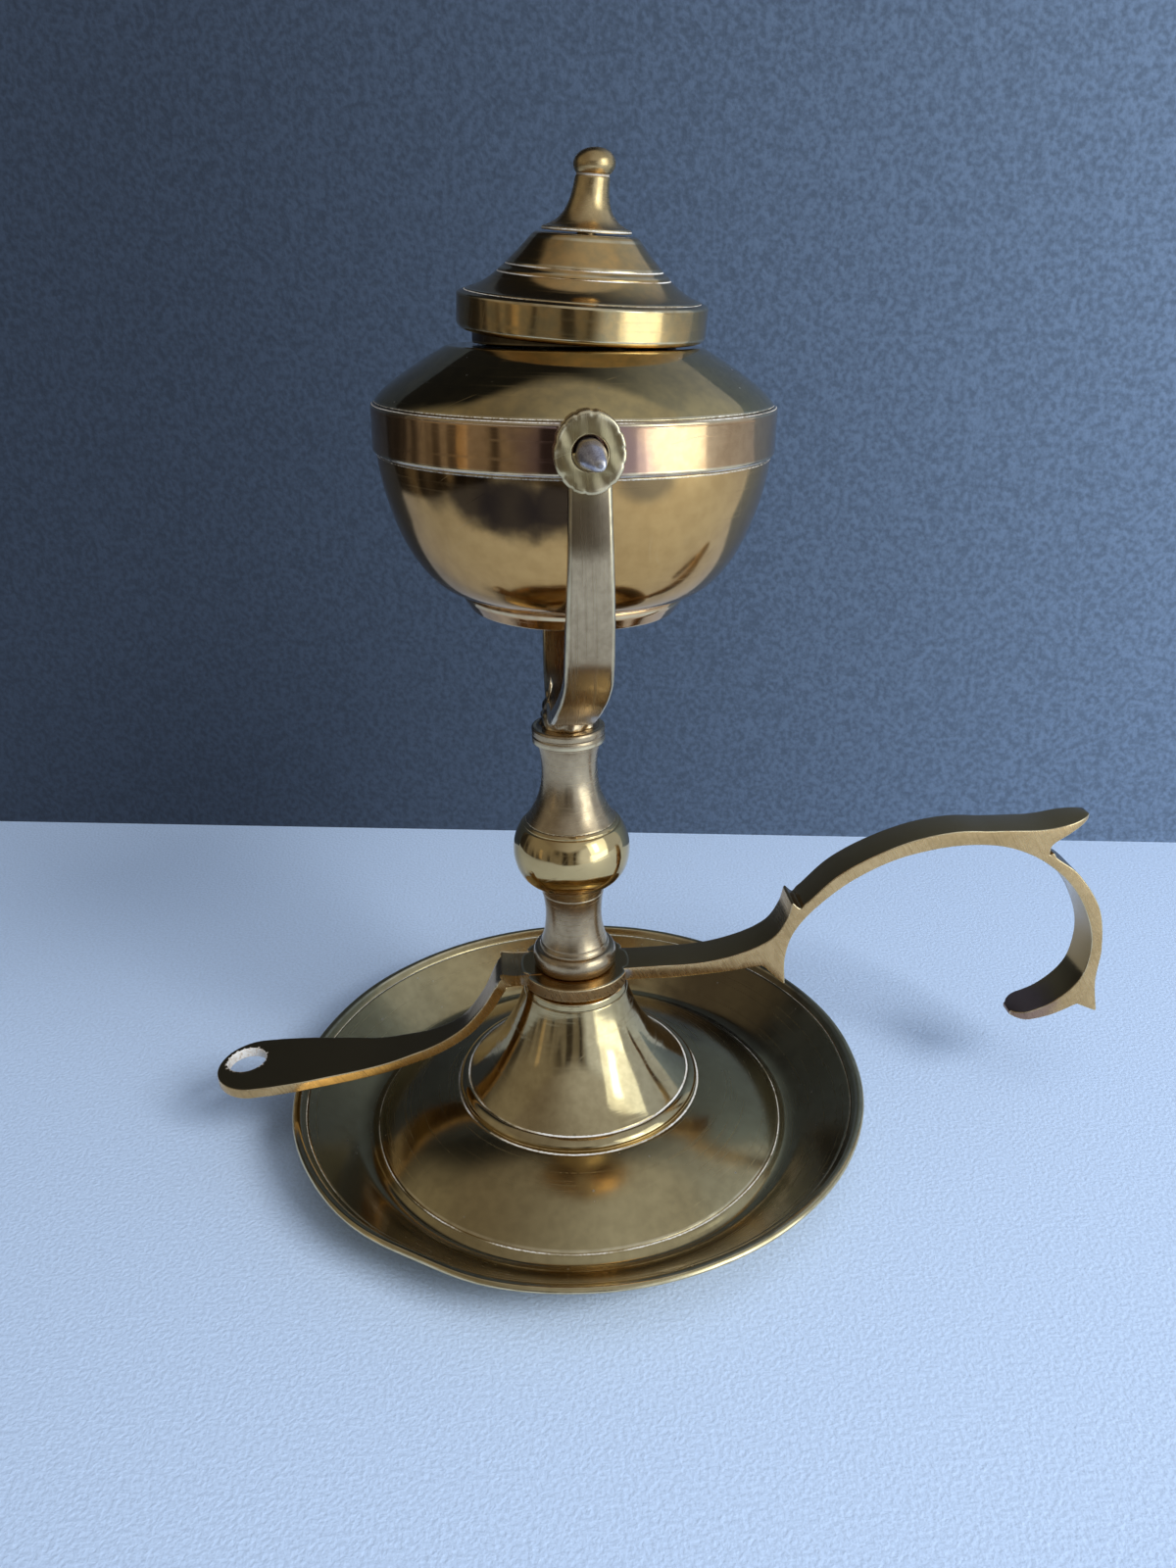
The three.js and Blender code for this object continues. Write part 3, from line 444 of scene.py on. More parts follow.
FOOT_LINES = [(19.6, -27.65, 0.1, 0.25, 1.0), (16.6, -31, 0.15, 0.3, 0.3), (7.0, -31, 0.15, 0.3, 0.3)]
BAND_LINES = [(33.6, 3.6, 0.06, 0.16, 0.8), (33.6, -4.0, 0.06, 0.22, 1.0), (33.8, 2.9, 0.04, 0.1, 0.0)]
font_turns = [
    ("font_bowl", BOWL_OUTLINE, 240, 216, [(33.15, -4.4, 0.0, 0.16, 0.7)], False, "bowl"),
    ("font_shoulder", SHOULDER_OUTLINE, 220, 216, [(33.18, 3.9, 0.0, 0.15, 0.7)], True, "shoulder"),
    ("font_band", BAND_OUTLINE, 120, 216, BAND_LINES, True, "band"),
    ("font_foot", FOOT_OUTLINE, 120, 160, FOOT_LINES, False, "band"),
]
font_wave = hand_worked(size=15.0, depth=0.05, seed=1.3)
for node, parts, count, facets, lines, closed, finish in font_turns:
    mesh = turned_mesh(node, FONT, parts, count, facets, lines, closed, font_wave)
    stands_for(joined(node + "_turned", [mesh]), node, finish)

# %% [markdown]
# Lid and finial. The lid is a loose cap: an upright band, a sloping roof, two reeded lines, and a cone with
# a rounded top. The finial's knob was struck once and leans a little, so its points are shifted sideways
# more and more towards the tip. A Simple Deform modifier could bend it, but it would have to be applied
# first.

# %% Lid and finial
ROOF_SWEEP, CONE_SWEEP = [0.35, 0.18, 0.75, 0.55], [0.4, 0.35, 0.75, 0.7]
LID_OUTLINE = [
    (19.1, 0), (19.8, 0, 0.25), (20.4, 0.6, 0.35), (20.4, 5.3, 0.35), (19.0, 5.9, 0.35), ROOF_SWEEP,
    (14.1, 8.7, 0.25), (13.6, 9.2, 0.15), (13.0, 9.6, 0.15), (12.6, 10.1, 0.25), CONE_SWEEP,
    (9.0, 13.9, 0.5), (8.2, 14.7, 0.5), (1.8, 14.7, 0.15), (1.8, 13.4, 0.15), (7.7, 13.4, 0.4),
    (11.3, 9.35, 0.4), (17.7, 5.25, 0.5), (19.1, 4.6, 0.3), (19.1, 0),
]
LID_LINES = [(14.0, 8.75, 0.16, 0.15, 1.0), (12.7, 9.95, 0.16, 0.15, 1.0), (19.2, 5.8, 0.12, 0.15, 0.8)]
FINIAL_FLARE, KNOB_UNDER, KNOB_ROUND = [0.62, 0.1, 1, 0.34], [0.2, 0.3, 0.9, 0.5], [0, 0.55, 0.4, 1]
FINIAL_OUTLINE = [
    (0, -3.3), (1.5, -3.3, 0.2), (1.5, 0, 0.2), (7.2, 0, 0.2), (7.2, 0.5, 0.3), FINIAL_FLARE,
    (2.75, 8.1, 0.2), KNOB_UNDER, (3.3, 9.5), KNOB_ROUND, (0, 11.86),
]
FINIAL_LINES = [(2.75, 8.0, 0.2, 0.22, 1.0), (7.2, 0.3, 0.05, 0.2, 0.8)]
FINIAL_LEAN, LEAN_HEIGHT, LEAN_POWER = 0.9, 11.9, 1.5


def leaning(local):
    """Shifts a point sideways with a power of its share of the height."""
    share = np.clip(local[..., 2] / LEAN_HEIGHT, 0, 1)
    return local + FINIAL_LEAN * share[..., None] ** LEAN_POWER * np.array([1.0, 0, 0])


lid_mesh = turned_mesh(
    "lid", LID, LID_OUTLINE, count=300, facets=180, lines=LID_LINES, closed=True,
    shape=hand_worked(size=12.0, depth=0.05, seed=0.2))
stands_for(joined("lid_cap", [lid_mesh]), "lid_shell", "lid")
finial_mesh = turned_mesh(
    "finial", FINIAL, FINIAL_OUTLINE, count=180, facets=96, lines=FINIAL_LINES, shape=leaning)
stands_for(joined("lid_finial_turned", [finial_mesh]), "lid_finial", "finial")

# %% [markdown]
# Flat stock with filed edges. The handle and the nuts were cut from plate. A curve with a bevel could make
# them, but then their faces couldn't be bent. Here a plate is one or more closed loops in a plane. This
# cell spaces the points of a loop, finds the way into the plate, and tells which points lie in it.

# %% Loops
def even(loop, spacing):
    """A closed loop with its points evenly spaced."""
    path = np.concatenate([loop, loop[:1]])
    s = lengths(path)
    return point_at(path, s, np.linspace(0, s[-1], int(s[-1] / spacing), endpoint=False))


def inward(loop):
    """Unit normals that point to the left of the way round, which is into the plate."""
    along = np.roll(loop, -1, 0) - np.roll(loop, 1, 0)
    along /= np.hypot(*along.T)[:, None]
    return np.stack([-along[:, 1], along[:, 0]], -1)


def inside(points, rims, margin):
    """True for points in the plate, by counting the rim's crossings to the right, and margin clear of it."""
    count, clear = np.zeros(len(points), int), np.ones(len(points), bool)
    for rim in rims:
        a, b = rim, np.roll(rim, -1, 0)
        y = points[:, 1:]
        spans = (a[:, 1] > y) != (b[:, 1] > y)
        rise = np.where(b[:, 1] == a[:, 1], 1e-12, b[:, 1] - a[:, 1])
        count += (spans & (points[:, :1] < a[:, 0] + (y - a[:, 1]) / rise * (b[:, 0] - a[:, 0]))).sum(1)
        if margin:
            clear &= np.hypot(*(points[:, None] - rim[None]).transpose(2, 0, 1)).min(1) > margin
    return (count % 2 == 1) & clear


square = np.array([(0, 0), (10, 0), (10, 10), (0, 10)], float)
print("a 10 mm square has", len(even(square, 1.0)), "points at 1 mm")

# %% [markdown]
# The rim of a plate is its loop carried through the thickness while it draws in at both faces. Each face is
# a triangulation of the drawn-in loop with a lattice of points inside, so that it can be bent with the
# rest.

# %% Plates
HOLE_POLISH, QUARTER_STEPS = 0.8, 5


def face_mesh(name, rims, depth, lattice, place):
    """One face: a constrained Delaunay triangulation of the rims and a lattice of inner points."""
    low, high = rims[0].min(0), rims[0].max(0)
    u, v = np.meshgrid(*(np.arange(a + lattice / 2, b, lattice) for a, b in zip(low, high)))
    inner = np.stack([u.ravel(), v.ravel()], -1)
    inner = inner[inside(inner, rims, lattice / 2)]
    points = np.concatenate([*rims, inner])
    edges, start = [], 0
    for rim in rims:
        here = start + np.arange(len(rim))
        edges.append(np.stack([here, np.roll(here, -1)], -1))
        start += len(rim)
    flat, _, faces, *_ = delaunay_2d_cdt(points.tolist(), np.concatenate(edges).tolist(), [], 0, 1e-7)
    flat, faces = np.array([p[:] for p in flat]), np.array([f[:] for f in faces])
    faces = faces[inside(flat[faces].mean(1), rims, 0)]
    if depth < 0:
        faces = faces[:, ::-1]
    points = place(flat[:, 0], flat[:, 1], np.full(len(flat), depth))
    zero = np.zeros(len(flat))
    uv = np.stack([flat[faces, 0], flat[faces, 1]], -1) * MM
    return new_mesh(name, points, faces, {"edge": zero, "line": zero}, uv)


def plate_mesh(name, loops, half, reach, spacing, place, lattice=1.2):
    """Rounded rims and two faces. place turns plane coordinates and depth (u, v, w) into x, y, z.

    Across the rim an angle runs from -90 to 90 degrees: the loop draws in by reach times one minus its
    cosine, and the depth is the sine's share of reach from the flat middle. Outer loops run left about,
    holes right about."""
    quarter = np.linspace(0, np.pi / 2, QUARTER_STEPS)
    bend = np.concatenate([-quarter[::-1], quarter])
    flank = np.repeat([-1.0, 1.0], len(quarter)) * (half - reach)
    meshes, rims = [], []
    for index, loop in enumerate(loops):
        ring = even(np.array(loop, float), spacing)
        normal = inward(ring)
        draw = reach * (1 - np.cos(bend))[:, None, None]
        uv = ring[None] + draw * normal[None]
        depth = np.broadcast_to((flank + reach * np.sin(bend))[:, None], uv.shape[:2])
        points = place(uv[..., 0].ravel(), uv[..., 1].ravel(), depth.ravel())
        edge = np.broadcast_to(np.sin(2 * np.abs(bend))[:, None], uv.shape[:2])
        held = np.full(edge.size, HOLE_POLISH if index else 0.0)
        masks = {"edge": edge.ravel() * (1.0 - held), "line": held}
        way = np.broadcast_to(np.arange(len(ring)) * spacing * MM, uv.shape[:2])
        faces = grid_faces(len(bend), len(ring), False, True)
        corner_uv = np.stack([way.ravel()[faces], depth.ravel()[faces] * MM], -1)
        meshes.append(new_mesh(name, points, faces, masks, corner_uv))
        rims.append(ring + reach * normal)
    for side in (-1.0, 1.0):
        meshes.append(face_mesh(name, rims, side * half, lattice, place))
    return meshes


print("a rounded rim has", 2 * QUARTER_STEPS, "rows of points")

# %% [markdown]
# Handle. It is one casting, filed up by hand: a collar under the stem, a bar that rises into an arch with a
# thumb rest, a hook that curls back for the finger, and on the other side a tab that bends down and ends in
# a paddle with a hanging hole. The scroll's side view is drawn as smooth edges from one sharp corner to the
# next, so each edge is a spline and only the corners are rounded.

# %% The scroll
BAR_HALF, EDGE_ROUND, RIM_STEP = 4.0, 0.24, 0.22
SCROLL_EDGES = [
    [(7.0, -1.4), (11.2, -1.4), (20, -1.45), (29, -0.9), (38.2, 0.1)],
    [(38.2, 0.1), (40.4, -2.1), (43, -4.8)],
    [(43, -4.8), (42.8, 2), (44.6, 8), (49.5, 13.9), (56.5, 19.3), (66, 23.6), (78, 25.4), (88, 24),
     (96.2, 19.5), (102.6, 12.8), (106.4, 5), (107.3, -1.4), (105.8, -8), (100.6, -13.2), (93, -16.2)],
    [(93, -16.2), (93, -17.2)],
    [(93, -17.2), (97, -17.1), (101.5, -16.1), (106.4, -13.8)],
    [(106.4, -13.8), (111, -16)],
    [(111, -16), (109.6, -8.3), (109.7, 0), (107.8, 9.2), (102.4, 17.2), (96.9, 21.6)],
    [(96.9, 21.6), (96.2, 22.6), (95.3, 22.2)],
    [(95.3, 22.2), (95.8, 24.6), (99.5, 27), (103.9, 29.2)],
    [(103.9, 29.2), (103.6, 29.9)],
    [(103.6, 29.9), (99, 28.9), (93, 28), (84, 28.2), (76, 28.5), (68, 27.2), (60, 24.3), (52.5, 20),
     (46.9, 14.5)],
    [(46.9, 14.5), (46.3, 14.0), (45.5, 12.9)],
    [(45.5, 12.9), (44.7, 13.5), (43.7, 14.6)],
    [(43.7, 14.6), (42.6, 10.5), (39.7, 6.3), (33.3, 3.3), (24.7, 1.6), (11.2, 1.4), (7.0, 1.4)],
    [(7.0, 1.4), (7.0, -1.4)],
]
CORNER_REACH = [0.5, 0.7, 0.25, 0.25, 0.3, 0.8, 0.3, 0.25, 0.3, 0.3, 0.25, 0.25, 0.7, 0.1, 0.1]


def spline(points):
    """A Catmull-Rom curve: through each point, it heads along the line between that point's neighbours."""
    p = np.array(points, float)
    p = np.concatenate([[2 * p[0] - p[1]], p, [2 * p[-1] - p[-2]]])
    t = np.linspace(0, 1, 40, endpoint=False)[:, None, None]
    a, b, c, d = p[:-3], p[1:-2], p[2:-1], p[3:]
    bends = 2 * b + (c - a) * t + (2 * a - 5 * b + 4 * c - d) * t**2 + (3 * b - a - 3 * c + d) * t**3
    return bends.transpose(1, 0, 2).reshape(-1, 2) / 2


def softened(edges, reaches):
    """A closed loop of splines, with the corner at the end of each rounded by a quadratic curve."""
    curves = [spline(edge) for edge in edges]
    path = np.concatenate([*curves, *curves])
    s = lengths(path)
    total = s[len(path) // 2]
    ends = np.cumsum([len(curve) for curve in curves])
    soft = path.copy()
    for end, reach in zip(ends, reaches):
        mark = s[end]
        a, b = (point_at(path, s, mark + side) for side in (-reach, reach))
        for turn in (0, total):
            near = np.abs(s - mark - turn) < reach
            t = ((s[near] - mark - turn) / reach / 2 + 0.5)[:, None]
            soft[near] = (1 - t) ** 2 * a + 2 * t * (1 - t) * path[end] + t**2 * b
    half = len(path) // 2
    start = len(curves[0]) // 2
    return soft[start:start + half]


THUMB_FROM, THUMB_ROUND, THUMB_TIP, NOTCH_HEIGHT = 96.9, 7.0, 0.985, 22.4
HOOK_FROM, HOOK_ROUND, HOOK_TIP, HOOK_LOW = 96.6, 3.7, 0.9, -13.0
SIDE_FILED, SIDE_WAVE, RISE_FILED, RISE_WAVE = 0.018, (23.0, 0.7), 0.06, (14.0, 2.6)
plate_foot, _ = PLATE


def on_scroll(u, v, w):
    """Side view to place: u out along +X, v up, w across. Thumb and hook end narrow to half ellipses."""
    out = np.clip((u - THUMB_FROM) / THUMB_ROUND, 0, THUMB_TIP) * (v > NOTCH_HEIGHT)
    out = out + np.clip((HOOK_FROM - u) / HOOK_ROUND, 0, HOOK_TIP) * (v < HOOK_LOW)
    uneven = 1 + SIDE_FILED * wobble(u, 0 * u, v, *SIDE_WAVE)
    across = w * np.sqrt(1 - out**2) * uneven
    lift = RISE_FILED * wobble(u, across, v, *RISE_WAVE)
    return plate_foot + np.stack([u, -across, v + lift], -1)


scroll_loop = softened(SCROLL_EDGES, CORNER_REACH)
scroll_meshes = plate_mesh("scroll", [scroll_loop], BAR_HALF, EDGE_ROUND, RIM_STEP, on_scroll)
print("scroll loop", len(scroll_loop), "points")

# %% [markdown]
# The tab hangs the lamp on a wall. Its plan is drawn flat, with its hole, and then laid on a bent middle
# line: a point keeps its x and y, drops to the line, and is moved off it by its depth along the line's
# normal. A curve modifier could bend it, but it would also shift the hole. A small crest stands over the
# bend.

# %% The tab
TAB_BEND = [
    (-4, 0), (-13.6, -0.2), (-15.3, -1.5), (-16.4, -3.5), (-18.4, -7.1), (-22, -11.7), (-25.2, -14.3),
    (-29.5, -16.4), (-33.7, -17.7), (-42, -19.4), (-52, -20),
]
TAB_END, TAB_HALF, TAB_REACH, TAB_DROOP = -83.8, 1.1, 75.33, 1.6
SHOULDER_X, SHOULDER_HALF, WAIST_X, WAIST_HALF = 15.5, 4.5, 24.0, 2.7
PADDLE_RADIUS, PADDLE_LENGTH, HOLE_RADIUS, TAB_ROOT = 8.4, 4.0, 3.9, -6.0
TAB_FILED, TAB_WAVE = 0.07, (13.0, 1.9)
NECK_SWEEP, FLANK_SWEEP = [0.25, 0.75, 0.6, 1.0], [0.35, 0.2, 0.7, 0.8]
HOLE_PLACE = np.array([-69.7, 1.9])
TAB_CREST = [
    [(-7, -0.5), (-14.2, -0.6)], [(-14.2, -0.6), (-15.4, 1.7)],
    [(-15.4, 1.7), (-12.5, 1.2), (-7, 1.3)], [(-7, 1.3), (-7, -0.5)],
]
CREST_REACH = [0.2, 0.6, 0.2, 0.2]

tab_foot = TAB_BEND[-1]
tab_line = np.concatenate([spline(TAB_BEND), [tab_foot, (TAB_END, tab_foot[1] - TAB_DROOP)]])[::-1]
tab_slope = np.gradient(tab_line[:, 1]) / np.gradient(tab_line[:, 0])


def on_tab(u, v, w):
    """The plan's x and y kept, the height from the bent line, then w along the line's normal."""
    slope = np.interp(u, tab_line[:, 0], tab_slope)
    steep = np.hypot(1, slope)
    height = np.interp(u, tab_line[:, 0], tab_line[:, 1])
    uneven = TAB_FILED * wobble(u, v, w, *TAB_WAVE)
    return plate_foot + np.stack([u - w * slope / steep, v + uneven, height + w / steep + uneven / 2], -1)


def tab_plan():
    """Half of the outline from the collar to the paddle's end, and its mirror image."""
    round_x = TAB_REACH - PADDLE_RADIUS
    angle = np.linspace(np.pi / 2, np.pi, 40)
    paddle = np.stack([-round_x + PADDLE_RADIUS * np.cos(angle), PADDLE_RADIUS * np.sin(angle)], -1)
    neck = run((-SHOULDER_X, SHOULDER_HALF), (-WAIST_X, WAIST_HALF), NECK_SWEEP)
    flank = run((-WAIST_X, WAIST_HALF), (PADDLE_LENGTH - round_x, PADDLE_RADIUS), FLANK_SWEEP)
    half = np.concatenate([[(TAB_ROOT, SHOULDER_HALF)], neck, flank, paddle])
    return np.concatenate([half, half[::-1] * [1, -1]])


def circle(middle, radius, count, way=1.0):
    """A round loop, left about for a rim and right about for a hole."""
    angle = way * np.linspace(0, 2 * np.pi, count, endpoint=False)
    return np.array(middle) + radius * np.stack([np.cos(angle), np.sin(angle)], -1)


hole = circle(HOLE_PLACE, HOLE_RADIUS, 90, -1.0)
tab_meshes = plate_mesh("tab", [tab_plan(), hole], TAB_HALF, EDGE_ROUND, RIM_STEP, on_tab)
crest_loop = softened(TAB_CREST, CREST_REACH)
crest_meshes = plate_mesh("crest", [crest_loop], SHOULDER_HALF, EDGE_ROUND, RIM_STEP, on_scroll)
print("hanging hole %.1f mm across" % (2 * HOLE_RADIUS))

# %% [markdown]
# The collar is clamped between pedestal and stem. It is turned, and a shaping function cuts the round nicks
# where a file cleaned up beside the bar and the tab. Then the casting's pieces are joined. The normals of the
# whole casting give a mask of its upward faces and the inside of the hook, which the finish paints dark: the
# patina of tops that the file never reached, together with painted shade and painted reflection. It could
# be worked out in the material, but a mask on the points stays with the piece when it moves.

# %% The collar and the whole handle
COLLAR_RADIUS, PLATE_HALF, ROD_HOLE = 11.2, 1.4, 2.8
COLLAR_OUTLINE = [
    (ROD_HOLE, 0), (ROD_HOLE, -PLATE_HALF), (COLLAR_RADIUS, -PLATE_HALF, 0.3),
    (COLLAR_RADIUS, PLATE_HALF, 0.3), (ROD_HOLE, PLATE_HALF), (ROD_HOLE, 0),
]
NICK_DEPTH, NICK_HALF, NICK_FROM, NICK_LONG = 0.75, 0.075, 6, 5
HOOK_INSIDE, TOP_GAIN, TOP_BIAS = 95.0, 1.6, 0.4
nick_sides = [(BAR_HALF, 0), (-BAR_HALF, 2 * np.pi), (SHOULDER_HALF, np.pi), (-SHOULDER_HALF, np.pi)]
nick_angles = [np.arcsin(side / COLLAR_RADIUS) + turn for side, turn in nick_sides]


def nicked(local):
    """Four round nicks beside the bar and the tab, as smooth valleys of angle near the rim."""
    x, y, z = np.moveaxis(local, -1, 0)
    radius, angle = np.hypot(x, y), np.arctan2(y, x) % (2 * np.pi)
    cut = sum(np.exp(-(((angle - mark % (2 * np.pi)) / NICK_HALF) ** 2)) for mark in nick_angles)
    pulled = 1 - NICK_DEPTH * cut * np.clip((radius - NICK_FROM) / NICK_LONG, 0, 1) / radius
    return np.stack([x * pulled, y * pulled, z], -1)


collar_mesh = turned_mesh("collar", PLATE, COLLAR_OUTLINE, count=90, facets=240, closed=True, shape=nicked)
handle = joined("handle_casting", [*scroll_meshes, *tab_meshes, *crest_meshes, collar_mesh])
facing, spots = (np.empty(3 * len(handle.data.vertices), np.float32) for _ in range(2))
handle.data.vertex_normals.foreach_get("vector", facing)
handle.data.vertices.foreach_get("co", spots)
in_hook = -facing[0::3] * (spots[0::3] / MM > plate_foot[0] + HOOK_INSIDE)
# upward faces and the hook's inside, painted dark later: painted shade and reflection, with patina
shaded_unfiled = np.clip(np.maximum(facing[2::3], in_hook) * TOP_GAIN - TOP_BIAS, 0, 1)
handle.data.attributes.new("top", "FLOAT", "POINT").data.foreach_set("value", shaded_unfiled)
stands_for(handle, "handle", "handle")

# %% [markdown]
# Fork. A strap bent to a U carries the font. A curve with a bevel could make it, but its section changes: a
# rounded rectangle is carried along the bent line, leaning sideways and narrowing as it climbs.

# %% The fork's strap
FORK_OUTER, FORK_INNER, FORK_THICK, FORK_ROOT, PIVOT_RISE, FORK_STRAIGHT = 37.2, 34.4, 2.8, 2.0, 53.8, 11.3
ARM_FOOT, ARM_EYE, ARM_ROUND, ARM_CROWN = 8.0, 6.3, 0.75, 0.12
PIVOT_OFFSET, FRONT_SET, REAR_SET, SET_BY, TAPER_FROM = 2.5, 2.3, 0.6, 0.3, 0.25
STRAIGHT_SHARE, STRAP_WORN, STRAP_WAVE, STRAP_STEP, STRAP_ROUND = 0.16, 0.05, (9.0, 3.3), 0.7, 0.02


def ease(t):
    """A smooth step from 0 to 1."""
    t = np.clip(t, 0, 1)
    return t * t * (3 - 2 * t)


def fork_path(count):
    """The strap's middle line, its way out, and its half width, from the front eye round to the rear one."""
    bend_z = PIVOT_RISE - FORK_STRAIGHT
    t = np.linspace(-STRAIGHT_SHARE, 1 + STRAIGHT_SHARE, count)
    angle = np.clip(t, 0, 1) * np.pi
    lift = np.maximum(np.maximum(-t, t - 1), 0) / STRAIGHT_SHARE * FORK_STRAIGHT
    drop = bend_z - FORK_ROOT
    outer = np.stack([-FORK_OUTER * np.cos(angle), bend_z + lift - drop * np.sin(angle)], -1)
    inner = np.stack([-FORK_INNER * np.cos(angle), bend_z + lift - (drop - FORK_THICK) * np.sin(angle)], -1)
    climb = (outer[:, 1] - FORK_ROOT) / (PIVOT_RISE - FORK_ROOT)
    set_x = np.where(outer[:, 0] < 0, FRONT_SET, REAR_SET)
    x = set_x * ease(climb / SET_BY) + (PIVOT_OFFSET - set_x) * ease((climb - SET_BY) / (1 - SET_BY))
    half = (ARM_FOOT + (ARM_EYE - ARM_FOOT) * ease((climb - TAPER_FROM) / (1 - TAPER_FROM))) / 2
    middle = np.column_stack([x, (outer + inner) / 2])
    away = np.column_stack([np.zeros(count), (outer - inner) / 2])
    return middle, away, half


def strap_section(steps=6):
    """A rounded rectangle as signs and sines: which corner a point belongs to, and its way round it."""
    turn = np.concatenate([np.linspace(0, np.pi / 2, steps) + k * np.pi / 2 for k in range(4)])
    corner = np.repeat([[1, 1], [-1, 1], [-1, -1], [1, -1]], steps, 0)
    return turn, corner


def fork_mesh():
    """Each section point is its corner's centre plus the rounding, with a slight crown on the outer face."""
    middle, away, half = fork_path(220)
    turn, corner = strap_section()
    thick = np.linalg.norm(away, axis=1)
    out = away / thick[:, None]
    across = corner[:, 0] * (half[:, None] - ARM_ROUND) + ARM_ROUND * np.cos(turn)
    depth = corner[:, 1] * (thick[:, None] - ARM_ROUND) + ARM_ROUND * np.sin(turn)
    depth = depth + ARM_CROWN * (1 - (across / half[:, None]) ** 2) * (corner[:, 1] > 0)
    points = middle[:, None] + depth[..., None] * out[:, None] + across[..., None] * np.array([1.0, 0, 0])
    worn = STRAP_WORN * wobble(*np.moveaxis(points, -1, 0), *STRAP_WAVE)
    points = points + worn[..., None] * out[:, None]
    points = np.concatenate([np.broadcast_to(middle[:1, None], points[:1].shape), points,
                             np.broadcast_to(middle[-1:, None], points[:1].shape)])
    rows, columns = points.shape[:2]
    edge = np.broadcast_to(np.abs(np.sin(2 * turn)), (rows, columns))
    way = np.arange(rows)[:, None] * STRAP_STEP * MM + np.zeros((rows, columns))
    faces = grid_faces(rows, columns, False, True)[:, ::-1]
    round_uv = np.broadcast_to(np.arange(columns) / columns * STRAP_ROUND, (rows, columns))
    uv = np.stack([round_uv.ravel()[faces], way.ravel()[faces]], -1)
    masks = {"edge": edge.ravel(), "line": np.zeros(edge.size)}
    return new_mesh("strap", FORK[0] + points.reshape(-1, 3), faces, masks, uv)


strap_mesh = fork_mesh()
print("strap", len(strap_mesh.polygons), "faces")

# %% [markdown]
# Each arm of the fork ends in an eye, a thick washer that was peened round its pin. Its foot is a boss with
# a peg in the stem's top, and a lump of braze ran out beside it. Sculpting could make the lump; two waves
# of different size on a turned cone do it here, so that it comes out the same each time.

# %% The fork's eyes and root
EYE_OUTLINE = [(2.45, 34.4), (5.15, 34.4, 0.4), (5.15, 38.1, 0.55), (2.45, 38.1, 0.3), (2.45, 34.4)]
ROOT_OUTLINE = [(0, 0), (4.9, 0, 0.2), (4.9, 2.4, 0.6), (3.2, 3.6, 0.5), (0, 3.6)]
PEG_OUTLINE = [(0, -6), (3, -6, 0.4), (3, 1), (0, 1)]
BRAZE_OUTLINE = [(0, 0), (2.6, 0, 0.6), [1.2, 0.2, 0.6, 0.5], (1.1, 6.5, 0.6), [0.2, 0.5, 0.5, 1], (0, 9.5)]
BRAZE_PLACE = np.array([-4.2, 1.0, -0.6])
EYE_TALL, TALL_FROM, TALL_OVER = 0.13, 3, 2
BLOW_COUNT, BLOW_DRIFT, BLOW_DRIFTS, BLOW_LEVEL = 11, 2, 3, 0.45
BLOW_FROM, BLOW_OVER, BLOW_IN, BLOW_BACK = 4.2, 0.9, 0.5, 0.3
FACE_FROM, FACE_WORN, FACE_WAVE = 36, 0.12, (4.0, 1.1)
BROAD_RUN, BROAD_WAVE, FINE_RUN, FINE_WAVE = 0.35, (3.4, 0.9), 0.2, (1.6, 2.2)
RUN_FLAT, RUN_LEAN, RUN_SAG, RUN_TURN = 0.6, 0.12, 0.1, 2.0
eye_middle = FORK[0] + np.array([PIVOT_OFFSET, 0, PIVOT_RISE])


def peened(local):
    """Hammer nicks round an eye: its rim moves in and its face moves back in an uneven wave of angle."""
    x, y, z = np.moveaxis(local, -1, 0)
    radius, angle = np.hypot(x, y), np.arctan2(y, x)
    beat = np.sin(BLOW_COUNT * angle + BLOW_DRIFT * np.sin(BLOW_DRIFTS * angle))
    blows = np.maximum(0, beat - BLOW_LEVEL) ** 2
    near_rim = np.clip((radius - BLOW_FROM) / BLOW_OVER, 0, 1)
    pulled = 1 - BLOW_IN * blows * near_rim / np.maximum(radius, 1)
    tall = 1 + EYE_TALL * np.clip((radius - TALL_FROM) / TALL_OVER, 0, 1)
    back = FACE_WORN * wobble(x, y, z, *FACE_WAVE) * (z > FACE_FROM)
    struck = BLOW_BACK * blows * near_rim * (z > FACE_FROM)
    return np.stack([x * pulled, y * pulled * tall, z - back - struck], -1)


def run_over(local):
    """A lump of braze that ran and froze: a leaning cone pushed about by two waves of different size."""
    x, y, z = np.moveaxis(local, -1, 0)
    swell = 1 + BROAD_RUN * wobble(x, y, z, *BROAD_WAVE) + FINE_RUN * wobble(x, y, z, *FINE_WAVE)
    sagging = 1 + RUN_SAG * np.sin(RUN_TURN * x)
    return np.stack([x * swell * RUN_FLAT + RUN_LEAN * z, y * swell, z * sagging], -1)


fork_meshes = [
    strap_mesh,
    turned_mesh("root", FORK, ROOT_OUTLINE, 50, 64, shape=hand_worked(size=3.0, depth=0.35, seed=1.4)),
    turned_mesh("peg", FORK, PEG_OUTLINE, 40, 40),
    turned_mesh("braze", (FORK[0] + BRAZE_PLACE, FORK[1]), BRAZE_OUTLINE, 60, 48, shape=run_over),
]
for way in (-1.0, 1.0):
    eye_place = (eye_middle, np.array([[1.0, 0, 0], [0, 0, -way], [0, way, 0]]))
    fork_meshes.append(turned_mesh("eye", eye_place, EYE_OUTLINE, 90, 128, closed=True, shape=peened))
stands_for(joined("fork_strap", fork_meshes), "fork", "fork")

# %% [markdown]
# Pivot pins. Each is an iron stud, filed to a blunt point. The front one was bent over, so that the font
# can't slip off. A lathe can't turn a bent pin, so it is turned straight and its points are shifted past
# the eye.

